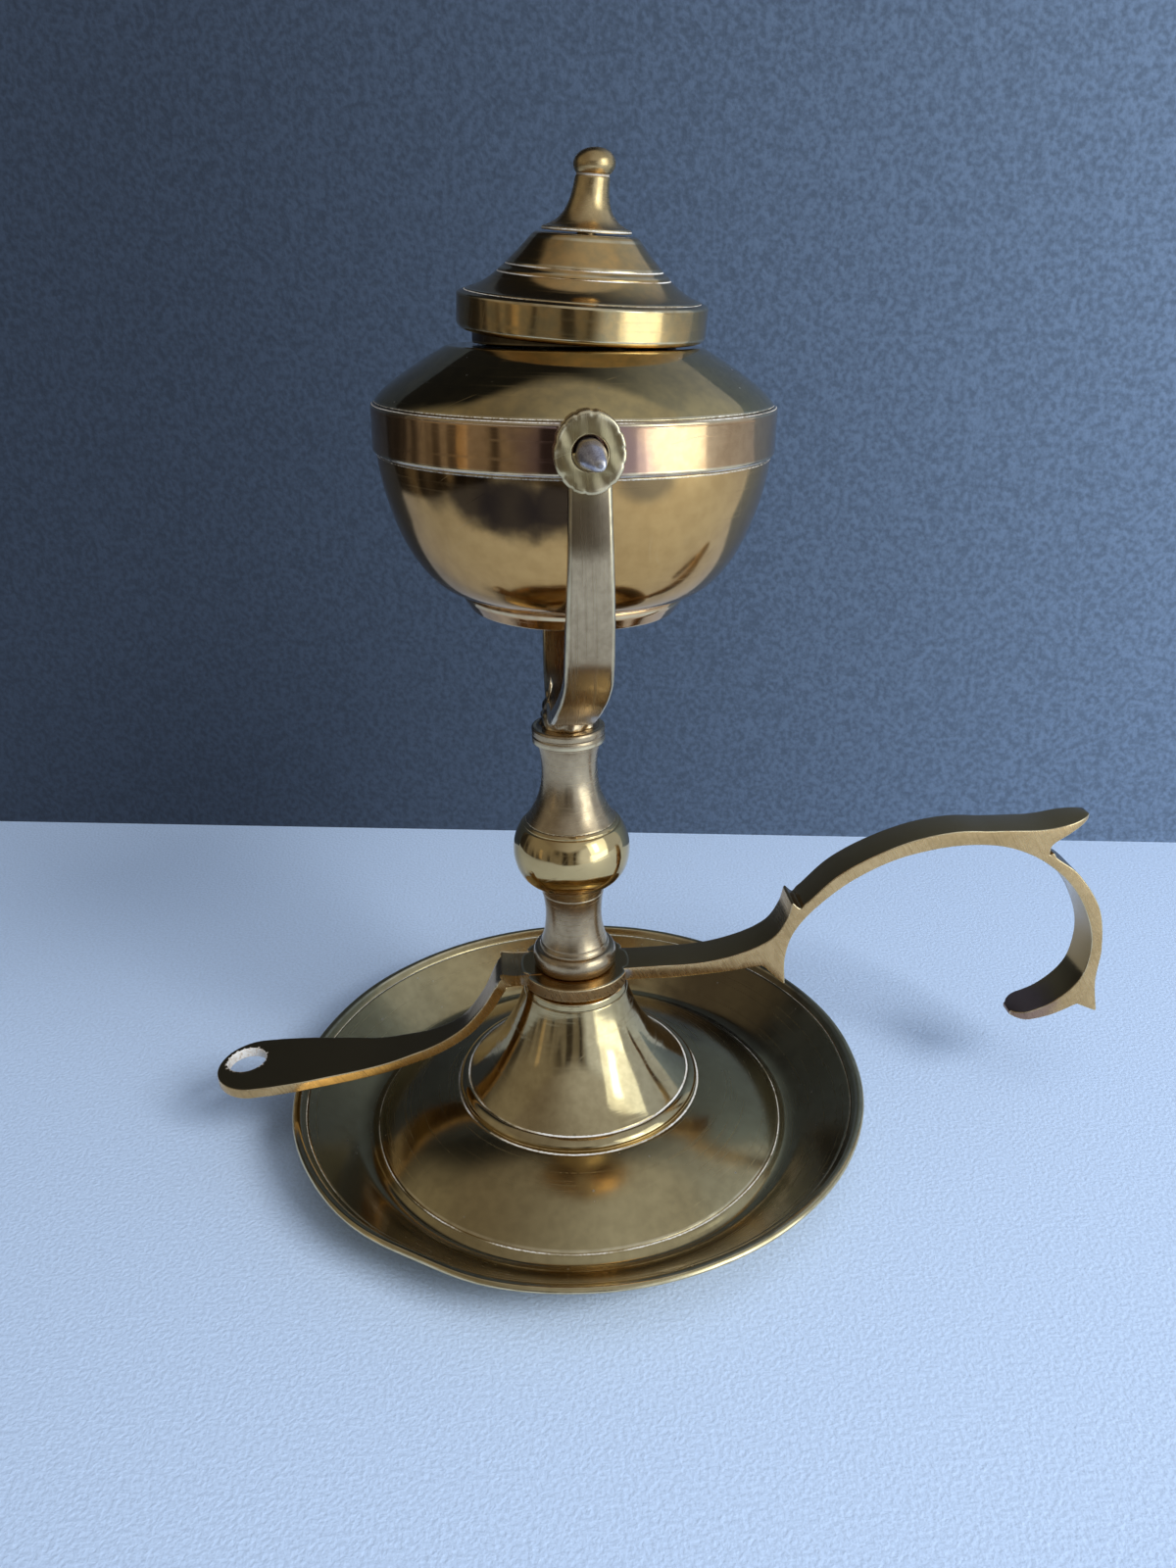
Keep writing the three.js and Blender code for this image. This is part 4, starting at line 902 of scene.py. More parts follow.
# %% Pivot pins
PIN_TAPER = [0.1, 0.4, 0.6, 0.8]
PIN_OUTLINE = [(0, 32.3), (2.1, 32.3, 0.2), (2.1, 38.7, 0.5), PIN_TAPER, (0.7, 42.1, 0.5), (0, 42.1)]
EYE_FACE, PIN_TIP, PIN_BEND, PIN_POWER = 38.1, 42.1, 1.2, 1.5


def pin_shape(bend):
    """Rough forging, and a bend sideways and down that grows with a power of the way past the eye."""
    def shape(local):
        x, y, z = np.moveaxis(hand_worked(size=2.6, depth=0.16, seed=0.6)(local), -1, 0)
        over = bend * np.clip((z - EYE_FACE) / (PIN_TIP - EYE_FACE), 0, 1) ** PIN_POWER
        return np.stack([x + over, y - over, z], -1)
    return shape


_, font_basis = FONT
for node, way, bend in (("pivot_pin_front", -1.0, PIN_BEND), ("pivot_pin_rear", 1.0, 0.0)):
    pin_place = (pivot, np.stack([font_basis[0] * -way, font_basis[2], font_basis[1] * way]))
    mesh = turned_mesh(node, pin_place, PIN_OUTLINE, 90, 48, shape=pin_shape(bend))
    stands_for(joined(node + "_stud", [mesh]), node, "iron")

# %% [markdown]
# What the lid hides. Inside the neck a drop-in burner plate carries two wick tubes. They are turned pieces
# too, apart from the plate, which needs two holes, and the nuts, which are six-sided plates. They could be
# left as plain solids while the lid is on, but they show when it lifts.

# %% Neck, burner and wicks
NECK_OUTLINE = [(15.4, 12.8), (16.8, 12.8, 0.2), (16.8, 15.2, 0.3), (15.4, 15.2, 0.3), (15.4, 12.8)]
TUBE_OUTLINE = [(2.0, -8), (2.6, -8, 0.15), (2.6, 4, 0.2), (2.0, 4, 0.2), (2.0, -8)]
WICK_OUTLINE = [(0, -34.9), (1.7, -34.9, 0.3), (1.7, 4.8, 0.4), (0, 4.8)]
SPIGOT_OUTLINE = [(13.5, -2), (14.9, -2, 0.3), (14.9, 0), (13.5, 0), (13.5, -2)]
BALLAST_OUTLINE = [(0, -25.4), (16, -25.4, 0.5), (16, -20.4, 0.6), (0, -20.4)]
TUBE_X, TUBE_HOLE, PLATE_RADIUS = 6.0, 2.9, 16.8


def laid(place, height):
    """A placing function: plane coordinates across an axis, with depth counted from a height along it."""
    foot, basis = place
    return lambda u, v, w: foot + np.stack([u, v, w + height], -1) @ basis


def beside(place, x):
    """The same place moved sideways."""
    return place[0] + x * place[1][0], place[1]


neck_mesh = turned_mesh("neck", FONT, NECK_OUTLINE, 60, 128, closed=True)
stands_for(joined("neck_ring", [neck_mesh]), "neck_collar", "inner")
holes = [circle((side * TUBE_X, 0), TUBE_HOLE, 60, -1.0) for side in (-1, 1)]
plate_loops = [circle((0, 0), PLATE_RADIUS, 120), *holes]
burner_meshes = plate_mesh(
    "plate", plate_loops, half=0.5, reach=0.2, spacing=0.5, place=laid(BURNER, 0.5))
burner_meshes.append(turned_mesh("spigot", BURNER, SPIGOT_OUTLINE, 40, 128, closed=True))
stands_for(joined("burner_disc", burner_meshes), "burner_plate", "inner")
wick_weave = hand_worked(size=1.1, depth=0.12, seed=0.5)
for side, x in (("left", -TUBE_X), ("right", TUBE_X)):
    tube = turned_mesh("tube", beside(BURNER, x), TUBE_OUTLINE, 70, 48, closed=True)
    stands_for(joined("wick_tube_%s_rolled" % side, [tube]), "wick_tube_" + side, "inner")
    wick = turned_mesh("wick", beside(BURNER, x), WICK_OUTLINE, 120, 40, shape=wick_weave)
    stands_for(joined("wick_%s_woven" % side, [wick]), "wick_" + side, "cotton")
ballast_wave = hand_worked(size=6.0, depth=0.1, seed=1.0)
ballast_mesh = turned_mesh("ballast", beside(FONT, 1.0), BALLAST_OUTLINE, 70, 96, shape=ballast_wave)
stands_for(joined("ballast_cast", [ballast_mesh]), "ballast_weight", "lead")

# %% [markdown]
# Fasteners under the dish and inside the lid. The rod's thread is a ridge that climbs one pitch with each
# turn, so the radius depends on height and angle together. A spiral curve could be cut out of it instead,
# but a radius that is only a formula can't leave stray faces.

# %% Fasteners
ROD_OUTLINE = [(0, 3.3), (2.5, 3.3, 0.4), (2.5, 55.1, 0.4), (0, 55.1)]
WASHER_OUTLINE = [(2.8, 8.1), (8, 8.1, 0.25), (8, 9.1, 0.25), (2.8, 9.1), (2.8, 8.1)]
THREAD_PITCH, THREAD_DEPTH, THREAD_FROM = 0.8, 0.22, 2


def threaded(local):
    """The radius falls by a triangle wave of height over pitch plus the share of a turn."""
    x, y, z = np.moveaxis(local, -1, 0)
    radius = np.hypot(x, y)
    phase = (z / THREAD_PITCH + np.arctan2(y, x) / (2 * np.pi)) % 1
    cut = THREAD_DEPTH * np.abs(2 * phase - 1) * (radius > THREAD_FROM)
    pulled = 1 - cut / np.maximum(radius, 1)
    return np.stack([x * pulled, y * pulled, z], -1)


def hexagon(radius):
    """Six corners, left about, with two of them on the Y axis."""
    angle = np.pi / 6 + np.arange(6) * np.pi / 3
    return radius * np.stack([np.cos(angle), np.sin(angle)], -1)


rod_mesh = turned_mesh("rod", TABLE, ROD_OUTLINE, 420, 36, shape=threaded)
stands_for(joined("tie_rod_threaded", [rod_mesh]), "tie_rod", "iron")
washer_mesh = turned_mesh("washer", TABLE, WASHER_OUTLINE, 50, 96, closed=True)
stands_for(joined("tie_washer_turned", [washer_mesh]), "tie_washer", "inner")
for node, place, middle, half, radius, bore, finish in (
    ("tie_nut", TABLE, 6.1, 2.0, 6.0, 2.8, "iron"), ("finial_nut", LID, 12.4, 0.7, 2.8, 1.8, "inner"),
):
    nut = plate_mesh("nut", [hexagon(radius), circle((0, 0), bore, 40, -1.0)], half, 0.3, 0.2,
                     laid(place, middle), 0.6)
    stands_for(joined(node + "_hex", nut), node, finish)

# %% [markdown]
# Writing shaders as sums. A finish is a small tree of nodes. It could be wired node by node, but it is
# easier to read when each node is one call that takes sockets or plain numbers and gives back a socket.
# These calls only add nodes; the effects that several finishes share come next, each as a node group.

# %% A short way to add nodes
class Sheet:
    """A node tree with one call for each kind of node that the finishes use."""

    def __init__(self, tree):
        self.tree = tree

    def node(self, kind, values=(), **settings):
        """A node with its settings. A value is a number, a colour or a socket for the input it names."""
        made_node = self.tree.nodes.new(kind)
        for name, setting in settings.items():
            setattr(made_node, name, setting)
        self.wire(made_node, dict(values))
        return made_node

    def wire(self, made_node, values):
        """Sockets are joined to a node's inputs, and plain values are set on them."""
        for key, value in values.items():
            if isinstance(value, bpy.types.NodeSocket):
                self.tree.links.new(value, made_node.inputs[key])
            else:
                made_node.inputs[key].default_value = value

    def math(self, operation, a, b=0.0, c=0.0):
        """One sum of up to three sockets or numbers."""
        return self.node("ShaderNodeMath", {0: a, 1: b, 2: c}, operation=operation).outputs[0]

    def vector_math(self, operation, a, b, output="Vector"):
        """One sum of two vectors; the answer is the output Value where it is a number."""
        return self.node("ShaderNodeVectorMath", {0: a, 1: b}, operation=operation).outputs[output]

    def part(self, vector, letter):
        """The X, Y or Z of a vector."""
        return self.node("ShaderNodeSeparateXYZ", {"Vector": vector}).outputs[letter]

    def mapped(self, vector, scale=(1.0, 1.0, 1.0), turn=(0.0, 0.0, 0.0)):
        """Coordinates stretched and turned."""
        values = {"Vector": vector, "Scale": scale, "Rotation": turn}
        return self.node("ShaderNodeMapping", values).outputs[0]

    def noise(self, vector, scale, detail=3.0):
        """Soft noise between 0 and 1, of scale waves to the unit."""
        values = {"Vector": vector, "Scale": scale, "Detail": detail}
        return self.node("ShaderNodeTexNoise", values).outputs["Fac"]

    def step(self, value, low, high):
        """0 below low, 1 above high, and a smooth step between."""
        values = {"Value": value, "From Min": low, "From Max": high}
        return self.node("ShaderNodeMapRange", values, interpolation_type="SMOOTHSTEP").outputs["Result"]

    def mix(self, share, a, b):
        """Colour a where the share is 0 and colour b where it is 1."""
        return self.node("ShaderNodeMix", {0: share, 6: a, 7: b}, data_type="RGBA").outputs[2]


print("one call each:", [call for call in vars(Sheet) if not call.startswith("_")])

# %% [markdown]
# Node groups. An effect that several finishes share could be copied into each of them, but then a change
# has to be made many times. A group is built once, has named sockets, and is placed with other values in
# each finish.

# %% Making a node group
FLOAT, VECTOR, ORIGIN = "NodeSocketFloat", "NodeSocketVector", (0.0, 0.0, 0.0)


def effect(name, inputs, outputs):
    """An empty node group with named sockets: its sheet, what it is given, and what it gives back."""
    tree = bpy.data.node_groups.new(name, "ShaderNodeTree")
    for socket, (kind, value) in inputs.items():
        made_socket = tree.interface.new_socket(socket, in_out="INPUT", socket_type=kind)
        made_socket.default_value = value
    for socket in outputs:
        tree.interface.new_socket(socket, in_out="OUTPUT", socket_type=FLOAT)
    return Sheet(tree), tree.nodes.new("NodeGroupInput").outputs, tree.nodes.new("NodeGroupOutput")


print("a group's sockets are", FLOAT, "or", VECTOR)

# %% [markdown]
# Marks that lie in the surface. Tarnish comes in soft patches. The lathe leaves fine rings, broken where a
# cloth has rubbed, so their noise is drawn out along the turn of the UV map. Old polish dries white in cut
# lines and inner corners and is worn away in places; the mesh's own "line" mask says where, and noise
# breaks it up.

# %% Tarnish, rings and old polish
RING_BREAKS, CRUMBS_PER_METRE, GAPS_PER_METRE = 5.0, 2600.0, 90.0

sheet, given, result = effect(
    "tarnish patches", {"Vector": (VECTOR, ORIGIN), "Size": (FLOAT, 0.01), "Spread": (FLOAT, 0.12)},
    ["Mask"])
cloud = sheet.noise(given["Vector"], sheet.math("DIVIDE", 1.0, given["Size"]), 5.0)
low, high = (sheet.math(side, 0.5, given["Spread"]) for side in ("SUBTRACT", "ADD"))
sheet.wire(result, {"Mask": sheet.step(cloud, low, high)})
patches = sheet.tree

sheet, given, result = effect(
    "lathe rings", {"UV": (VECTOR, ORIGIN), "Spacing": (FLOAT, 0.0005)}, ["Height", "Rubbed"])
pitch = sheet.math("DIVIDE", 1.0, given["Spacing"])
drawn_out = sheet.node("ShaderNodeCombineXYZ", {"X": RING_BREAKS, "Y": pitch, "Z": 1.0}).outputs[0]
rings = sheet.noise(sheet.vector_math("MULTIPLY", given["UV"], drawn_out), 1.0)
sheet.wire(result, {"Height": rings, "Rubbed": sheet.step(rings, 0.56, 0.68)})
lathe_rings = sheet.tree

sheet, given, result = effect(
    "old polish", {"Vector": (VECTOR, ORIGIN), "Line": (FLOAT, 0.0), "Amount": (FLOAT, 1.0)}, ["Mask"])
crumbs = sheet.math("MULTIPLY_ADD", sheet.noise(given["Vector"], CRUMBS_PER_METRE), 0.9, 0.45)
gaps = sheet.step(sheet.noise(given["Vector"], GAPS_PER_METRE), 0.3, 0.52)
dried = sheet.step(sheet.math("MULTIPLY", given["Line"], crumbs), 0.42, 0.78)
in_places = sheet.math("MULTIPLY", dried, gaps)
sheet.wire(result, {"Mask": sheet.math("MULTIPLY", in_places, given["Amount"])})
old_polish = sheet.tree
print("groups", [group.name for group in bpy.data.node_groups])

# %% [markdown]
# Marks of use. Outer corners are rubbed bright where the mesh's "edge" mask is high, and a painted
# highlight lies along them too. Casting leaves pits: a few cells of a Voronoi pattern get a dot. A file
# leaves parallel strokes, which are noise drawn out one way, and heat leaves a stain with a ragged rim round
# one place; the same ragged spot also paints shade. All of them could be painted by hand on a picture, but
# then they would blur in a close view.

# %% Rubbed and highlit edges, pits, file strokes, stains and painted shade
WEAR_PER_METRE, RAGGED_PER_METRE = 320.0, 160.0

sheet, given, result = effect(
    "rubbed and highlit edges", {"Vector": (VECTOR, ORIGIN), "Edge": (FLOAT, 0.0), "Amount": (FLOAT, 1.0)}, ["Mask"])
uneven = sheet.step(sheet.noise(given["Vector"], WEAR_PER_METRE, 4.0), 0.25, 0.6)
uneven = sheet.math("MULTIPLY_ADD", uneven, 0.7, 0.3)
rubbed = sheet.math("MULTIPLY", sheet.step(given["Edge"], 0.25, 0.85), uneven)
sheet.wire(result, {"Mask": sheet.math("MULTIPLY", rubbed, given["Amount"])})
rubbed_and_highlit_edges = sheet.tree

sheet, given, result = effect(
    "pits", {"Vector": (VECTOR, ORIGIN), "Size": (FLOAT, 0.003), "Share": (FLOAT, 0.2)}, ["Mask"])
per_metre = sheet.math("DIVIDE", 1.0, given["Size"])
cells = sheet.node(
    "ShaderNodeTexVoronoi", {"Vector": given["Vector"], "Scale": per_metre, "Randomness": 1.0})
chance = sheet.node("ShaderNodeSeparateColor", {"Color": cells.outputs["Color"]}).outputs[0]
chosen = sheet.math("LESS_THAN", chance, given["Share"])
dot = sheet.math("SUBTRACT", 1.0, sheet.step(cells.outputs["Distance"], 0.05, 0.16))
sheet.wire(result, {"Mask": sheet.math("MULTIPLY", chosen, dot)})
pits = sheet.tree

sheet, given, result = effect(
    "file strokes",
    {"Vector": (VECTOR, ORIGIN), "Along": (VECTOR, (60, 60, 2400)), "Turn": (VECTOR, ORIGIN)},
    ["Height", "Mask"])
across = sheet.mapped(given["Vector"], turn=given["Turn"])
strokes = sheet.noise(sheet.vector_math("MULTIPLY", across, given["Along"]), 1.0)
sheet.wire(result, {"Height": strokes, "Mask": sheet.step(strokes, 0.5, 0.72)})
file_strokes = sheet.tree

# a ragged spot, used for stains and for painted shade
sheet, given, result = effect(
    "stain", {"Vector": (VECTOR, ORIGIN), "Place": (VECTOR, ORIGIN), "Reach": (FLOAT, 0.01)}, ["Mask"])
gap = sheet.vector_math("DISTANCE", given["Vector"], given["Place"], "Value")
ragged = sheet.math("MULTIPLY_ADD", sheet.noise(given["Vector"], RAGGED_PER_METRE, 4.0), 1.1, 0.45)
share = sheet.math("MULTIPLY", sheet.math("DIVIDE", gap, given["Reach"]), ragged)
sheet.wire(result, {"Mask": sheet.math("SUBTRACT", 1.0, sheet.step(share, 0.45, 1.1))})
stain = sheet.tree
print("groups", [group.name for group in bpy.data.node_groups])

# %% [markdown]
# Metal, layer by layer. On the lamp each mark lies over an older one: tarnish over the clean brass, dents,
# scratches and tool marks in it, then stains, dust, rubbed edges and dried polish. Each finish could be a
# tree of its own, but they differ only in amounts. So a finish carries its colour, roughness and bump
# height along, and each layer is a short function that changes them.

# %% A finish under way
class Finish(Sheet):
    """A material with its colour, roughness and bump height so far, each a socket or a plain value."""

    def __init__(self, name, roughness):
        self.material = bpy.data.materials.new(name)
        self.material.use_nodes = True
        super().__init__(self.material.node_tree)
        self.shader = self.tree.nodes["Principled BSDF"]
        where = self.node("ShaderNodeTexCoord").outputs
        self.place, self.uv = where["Object"], where["UV"]
        self.color, self.rough, self.height = None, roughness, 0.0

    def placed(self, group, **values):
        """A shared effect with its own values, as its outputs by name."""
        return self.node("ShaderNodeGroup", values, node_tree=group).outputs

    def mask(self, attribute):
        """A mask that the mesh keeps on its points."""
        return self.node("ShaderNodeAttribute", attribute_name=attribute).outputs["Fac"]

    def tint(self, mask, color, share=1.0):
        """The colour moves towards another by the mask times a share."""
        if share < 1:
            mask = self.math("MULTIPLY", mask, share)
        self.color = self.mix(mask, self.color, (*color, 1))

    def rougher(self, mask, amount):
        """The roughness grows by the mask times an amount."""
        self.rough = self.math("MULTIPLY_ADD", mask, amount, self.rough)

    def higher(self, mask, amount):
        """The bump's height grows by the mask times an amount."""
        self.height = self.math("MULTIPLY_ADD", mask, amount, self.height)

    def laid_on(self, pieces, strength, distance, **inputs):
        """Joins colour, roughness, bump and other inputs to the shader; pieces get the material."""
        values = {"Height": self.height, "Strength": strength, "Distance": distance}
        bump = self.node("ShaderNodeBump", values).outputs[0]
        self.wire(self.shader, {"Base Color": self.color, "Roughness": self.rough, "Normal": bump, **inputs})
        for piece in pieces:
            piece.data.materials.append(self.material)
        print("%-9s on %s" % (self.material.name, ", ".join(piece.name for piece in pieces)))


print("masks that the meshes keep: line, edge and top")

# %% [markdown]
# The metal itself and its polish. Tarnish mixes two colours in broad patches and in fine ones. A belt
# between two heights can be polished smoother than the rest, and scratches run in two directions, each with
# a bright lip.

# %% Tarnish, polished belt and scratches
PATCH_SPREAD, FINE_SPREAD, FINE_PATCHES, BROAD_SHARE, FINE_SHARE = 0.25, 0.2, 9, 0.7, 0.4
BARE_AND_HIGHLIGHT_GOLD, POLISH_WHITE = (0.88, 0.70, 0.42), (0.64, 0.61, 0.57)
MIRROR_TINT, MIRROR_SHARE, MIRROR_ROUGHNESS, BELT_BLUR = (0.72, 0.50, 0.21), 0.75, 0.06, 0.1
SCRATCH_ALONG, SCRATCH_TURNS = (60, 60, 3000), ((0.4, 0.3, 0.9), (1.2, 0.5, 0.2))
SCRATCH_DEPTH, SCRATCH_SHINE = 0.12, 0.1


def tarnished(finish, clean, tarnish, patch, dull):
    """Two colours mixed by broad patches plus fine ones, rougher where the metal is tarnished."""
    broad = finish.placed(patches, Vector=finish.place, Size=patch, Spread=PATCH_SPREAD)["Mask"]
    fine = finish.placed(patches, Vector=finish.place, Size=patch / FINE_PATCHES, Spread=FINE_SPREAD)["Mask"]
    worn = finish.math("MULTIPLY_ADD", fine, FINE_SHARE, finish.math("MULTIPLY", broad, BROAD_SHARE))
    finish.color = finish.mix(worn, (*clean, 1), (*tarnish, 1))
    finish.rougher(worn, dull)


def polished_belt(finish, middle, half, roughness):
    """A belt of half the given height to each side of its middle, smooth and of a deeper gold."""
    away = finish.math("ABSOLUTE", finish.math("SUBTRACT", finish.part(finish.place, "Z"), middle * MM))
    in_belt = finish.step(away, (1 + BELT_BLUR) * half * MM, (1 - BELT_BLUR) * half * MM)
    finish.rougher(in_belt, MIRROR_ROUGHNESS - roughness)
    finish.tint(in_belt, MIRROR_TINT, MIRROR_SHARE)


def scratched(finish):
    """The crests of two sets of very fine strokes, cut in and brightened."""
    for turn in SCRATCH_TURNS:
        strokes = finish.placed(file_strokes, Vector=finish.place, Along=SCRATCH_ALONG, Turn=turn)
        scratch = finish.step(strokes["Height"], 0.67, 0.77)
        finish.higher(scratch, -SCRATCH_DEPTH)
        finish.tint(scratch, BARE_AND_HIGHLIGHT_GOLD, SCRATCH_SHINE)


print("scratches run in", len(SCRATCH_TURNS), "directions")

# %% [markdown]
# What the tools left. Tops that the file never reached are smoother, and they and the inside of the hook
# are painted dark: patina together with painted shade and painted reflection. The lathe leaves rings, the
# file leaves strokes with grime in them, and the casting has small dark pits.

# %% Tool marks and painted dark tops
TOP_SMOOTHER, RING_ROUGHER, STROKE_ROUGHER = 0.1, 0.1, 0.12
GRIME_SHADE, GRIME_SHARE, PIT_COLOR, PIT_SHARE = 0.6, 0.35, (0.16, 0.12, 0.07), 0.75


def painted_top_shade_and_patina(finish, dark):
    """The mesh's own mask of tops and the hook's inside, in a dark colour: patina, painted shade and reflection.
    """
    top = finish.mask("top")
    finish.tint(top, dark)
    finish.rougher(top, -TOP_SMOOTHER)


def ringed(finish, depth, spacing):
    """Rings along the turning, rougher where they stand out."""
    ring = finish.placed(lathe_rings, UV=finish.uv, Spacing=spacing)
    finish.higher(ring["Height"], depth)
    finish.rougher(ring["Rubbed"], RING_ROUGHER)


def filed(finish, along, turn, depth, tarnish, has_tops):
    """Strokes drawn out along one way, grimy in their hollows, and left off the tops that are painted dark."""
    stroke = finish.placed(file_strokes, Vector=finish.place, Along=along, Turn=turn)
    reached = finish.math("SUBTRACT", 1.0, finish.mask("top")) if has_tops else 1.0
    finish.higher(finish.math("MULTIPLY", stroke["Height"], reached), depth)
    marked = finish.math("MULTIPLY", stroke["Mask"], reached)
    finish.rougher(marked, STROKE_ROUGHER)
    finish.tint(marked, GRIME_SHADE * np.array(tarnish), GRIME_SHARE)


def pitted(finish, share, size):
    """Dots in a share of cells of the given size, sunk and dark."""
    hollow = finish.placed(pits, Vector=finish.place, Size=size, Share=share)["Mask"]
    finish.higher(hollow, -1.0)
    finish.tint(hollow, PIT_COLOR, PIT_SHARE)


print("tool marks: unfiled tops, rings, strokes and pits")

# %% [markdown]
# What hands and years left, with some painted light. A spot darkens or tints one place: some spots are
# stains and some are painted shade. Dust lies in specks, hands rub the edges bright and a painted highlight
# lies along them, and polish dries white in the lines. Dried polish is a powder, so it takes the metal's
# shine away too.

# %% Stains and painted shade, dust, rubbed and highlit edges, and dried polish
DUST_SIZE, DUST_SHARE, DUST_ROUGHER, POLISH_ROUGHER, POLISH_HEIGHT = 0.0019, 0.5, 0.3, 0.5, 0.4


def stained(finish, middle, reach, color, strength):
    """A ragged spot round a place, for a stain and for painted shade alike; lengths in millimetres."""
    spot = finish.placed(stain, Vector=finish.place, Place=np.array(middle) * MM, Reach=reach * MM)["Mask"]
    finish.tint(spot, color, strength)


def dusted(finish, share):
    """White specks, dull ones, in a share of small cells."""
    grains = finish.placed(pits, Vector=finish.place, Size=DUST_SIZE, Share=share)["Mask"]
    finish.tint(grains, POLISH_WHITE, DUST_SHARE)
    finish.rougher(grains, DUST_ROUGHER)


def rubbed_bare_and_highlit(finish, amount):
    """A bright colour along the mesh's own edge mask: rubbed bare metal and a painted highlight."""
    bare = finish.placed(rubbed_and_highlit_edges, Vector=finish.place, Edge=finish.mask("edge"), Amount=amount)["Mask"]
    # painted highlight along the edges, over rubbed bare metal
    finish.tint(bare, BARE_AND_HIGHLIGHT_GOLD)


def dried_polish(finish, amount):
    """White powder along the mesh's own line mask. Gives back how much bare metal is left."""
    white = finish.placed(old_polish, Vector=finish.place, Line=finish.mask("line"), Amount=amount)["Mask"]
    finish.tint(white, POLISH_WHITE)
    finish.rougher(white, POLISH_ROUGHER)
    finish.higher(white, POLISH_HEIGHT)
    return finish.math("SUBTRACT", 1.0, white)


print("dust specks %.1f mm apart" % (DUST_SIZE / MM))

# %% [markdown]
# The recipe puts the layers on in the order in which they came to lie on the metal. A layer whose amount is
# 0 is left out, so a finish holds only the nodes that it needs.

# %% The recipe
DENTS_PER_METRE, BUMP_STRENGTH, BUMP_DISTANCE = 190.0, 0.6, 0.00008


def metal(name, clean, tarnish, roughness, patch=0.012, dull=0.05, dents=0.2, mirror=None, top=None,
          rings=0.0, spacing=0.0006, strokes=None, stroke_depth=0.0, pit_share=0.0, pit_size=0.003,
          stains=(), dust=0.0, edge=0.7, polish=1.0):
    """Every layer that has an amount, then the pieces that wait for the finish of this name.

    A mirror is the middle height and the half height of a belt, strokes are (scale along each axis, turn),
    and each stain and each painted shade is (place, reach, colour, strength)."""
    finish = Finish(name, roughness)
    tarnished(finish, clean, tarnish, patch, dull)
    finish.higher(finish.noise(finish.place, DENTS_PER_METRE, 2.0), dents)
    if mirror:
        polished_belt(finish, *mirror, roughness)
    scratched(finish)
    if top:
        painted_top_shade_and_patina(finish, top)
    if rings:
        ringed(finish, rings, spacing)
    if strokes:
        filed(finish, *strokes, stroke_depth, tarnish, bool(top))
    if pit_share:
        pitted(finish, pit_share, pit_size)
    for mark in stains:
        stained(finish, *mark)
    if dust:
        dusted(finish, dust)
    if edge:
        rubbed_bare_and_highlit(finish, edge)
    bare_metal = dried_polish(finish, polish) if polish else 1.0
    finish.laid_on(made[name], BUMP_STRENGTH, BUMP_DISTANCE, Metallic=bare_metal)


print("finishes to make:", sorted(made))

# %% [markdown]
# The finishes. The dish and the shoulder have gone olive; the font and the lid are still polished; the bell
# keeps its casting's pits; the stem and the fork are paler and satin, apart from the stem's knop, which is
# polished to a golden mirror. The handle is filed, with old polish in its nicks; its tops and the inside of
# its hook are painted dark, patina together with painted shade and painted reflection. Near the front eye
# and at the hook's end, heat and handling have left a purple bloom. Painted shade lies on the dish's right
# wall and on the bowl right of the front arm, dark patches lie on the bowl below the front eye, and the
# fork's root under the font is darker.

# %% Colours and places of the marks
POLISHED, POLISHED_DARK = (0.75, 0.43, 0.15), (0.55, 0.30, 0.10)
BANDED, BANDED_DARK = (0.73, 0.43, 0.20), (0.52, 0.29, 0.13)
CAST, CAST_DARK = (0.68, 0.51, 0.26), (0.48, 0.345, 0.165)
OLIVE, OLIVE_DARK = (0.59, 0.44, 0.21), (0.41, 0.30, 0.14)
GOLDEN, KNOB, KNOB_DARK = (0.70, 0.48, 0.19), (0.68, 0.45, 0.20), (0.44, 0.29, 0.12)
PALE, PALE_DARK = (0.64, 0.47, 0.275), (0.43, 0.30, 0.17)
FILED, FILED_DARK, PATINA_AND_SHADE = (0.80, 0.51, 0.23), (0.56, 0.34, 0.14), (0.40, 0.25, 0.10)
INNER, INNER_DARK = (0.16, 0.11, 0.05), (0.08, 0.055, 0.03)
PURPLE, GREENISH = (0.25, 0.14, 0.135), (0.62, 0.48, 0.21)
# The third colour here paints shade; the first two only darken spots.
ROOT_DARK, DEEP_DARK, SHADE = (0.07, 0.05, 0.035), (0.035, 0.021, 0.014), (0.13, 0.09, 0.05)
NICK_RADIUS, NICK_REACH, NICK_POLISH, KNOP_MIDDLE, KNOP_HALF = 10.9, 1.6, 0.8, 26.0, 6.6

front_eye = pivot + np.array([0, -33.8, 0])
hook_end = plate_foot + np.array([96.0, 0, -16.5])
crest = plate_foot + np.array([-14.0, -3.0, 1.0])
root = FORK[0] + np.array([-5.0, 3.0, 2.0])
# the dish's right wall, where a painted shade lies
right_wall = TABLE[0] + np.array([40.0, 33.0, 8.0])
nicks = [plate_foot + NICK_RADIUS * np.array([np.cos(a), np.sin(a), 0]) for a in nick_angles]
# The first spot on the bowl, right of the front arm, is painted shade; the others are dark patches below the front
# eye.
bowl_stains = [
    (front_eye + [9, 2.5, -4.5], 5.0, SHADE, 0.7), (front_eye + [-5, 1.2, -8], 6.0, DEEP_DARK, 0.95),
    (front_eye + [-11, 3, -8], 6.5, DEEP_DARK, 0.95), (front_eye + [-17, 5.7, -6.5], 5.5, DEEP_DARK, 0.9),
    (front_eye + [-23, 10.4, -5.5], 4.5, DEEP_DARK, 0.7),
]
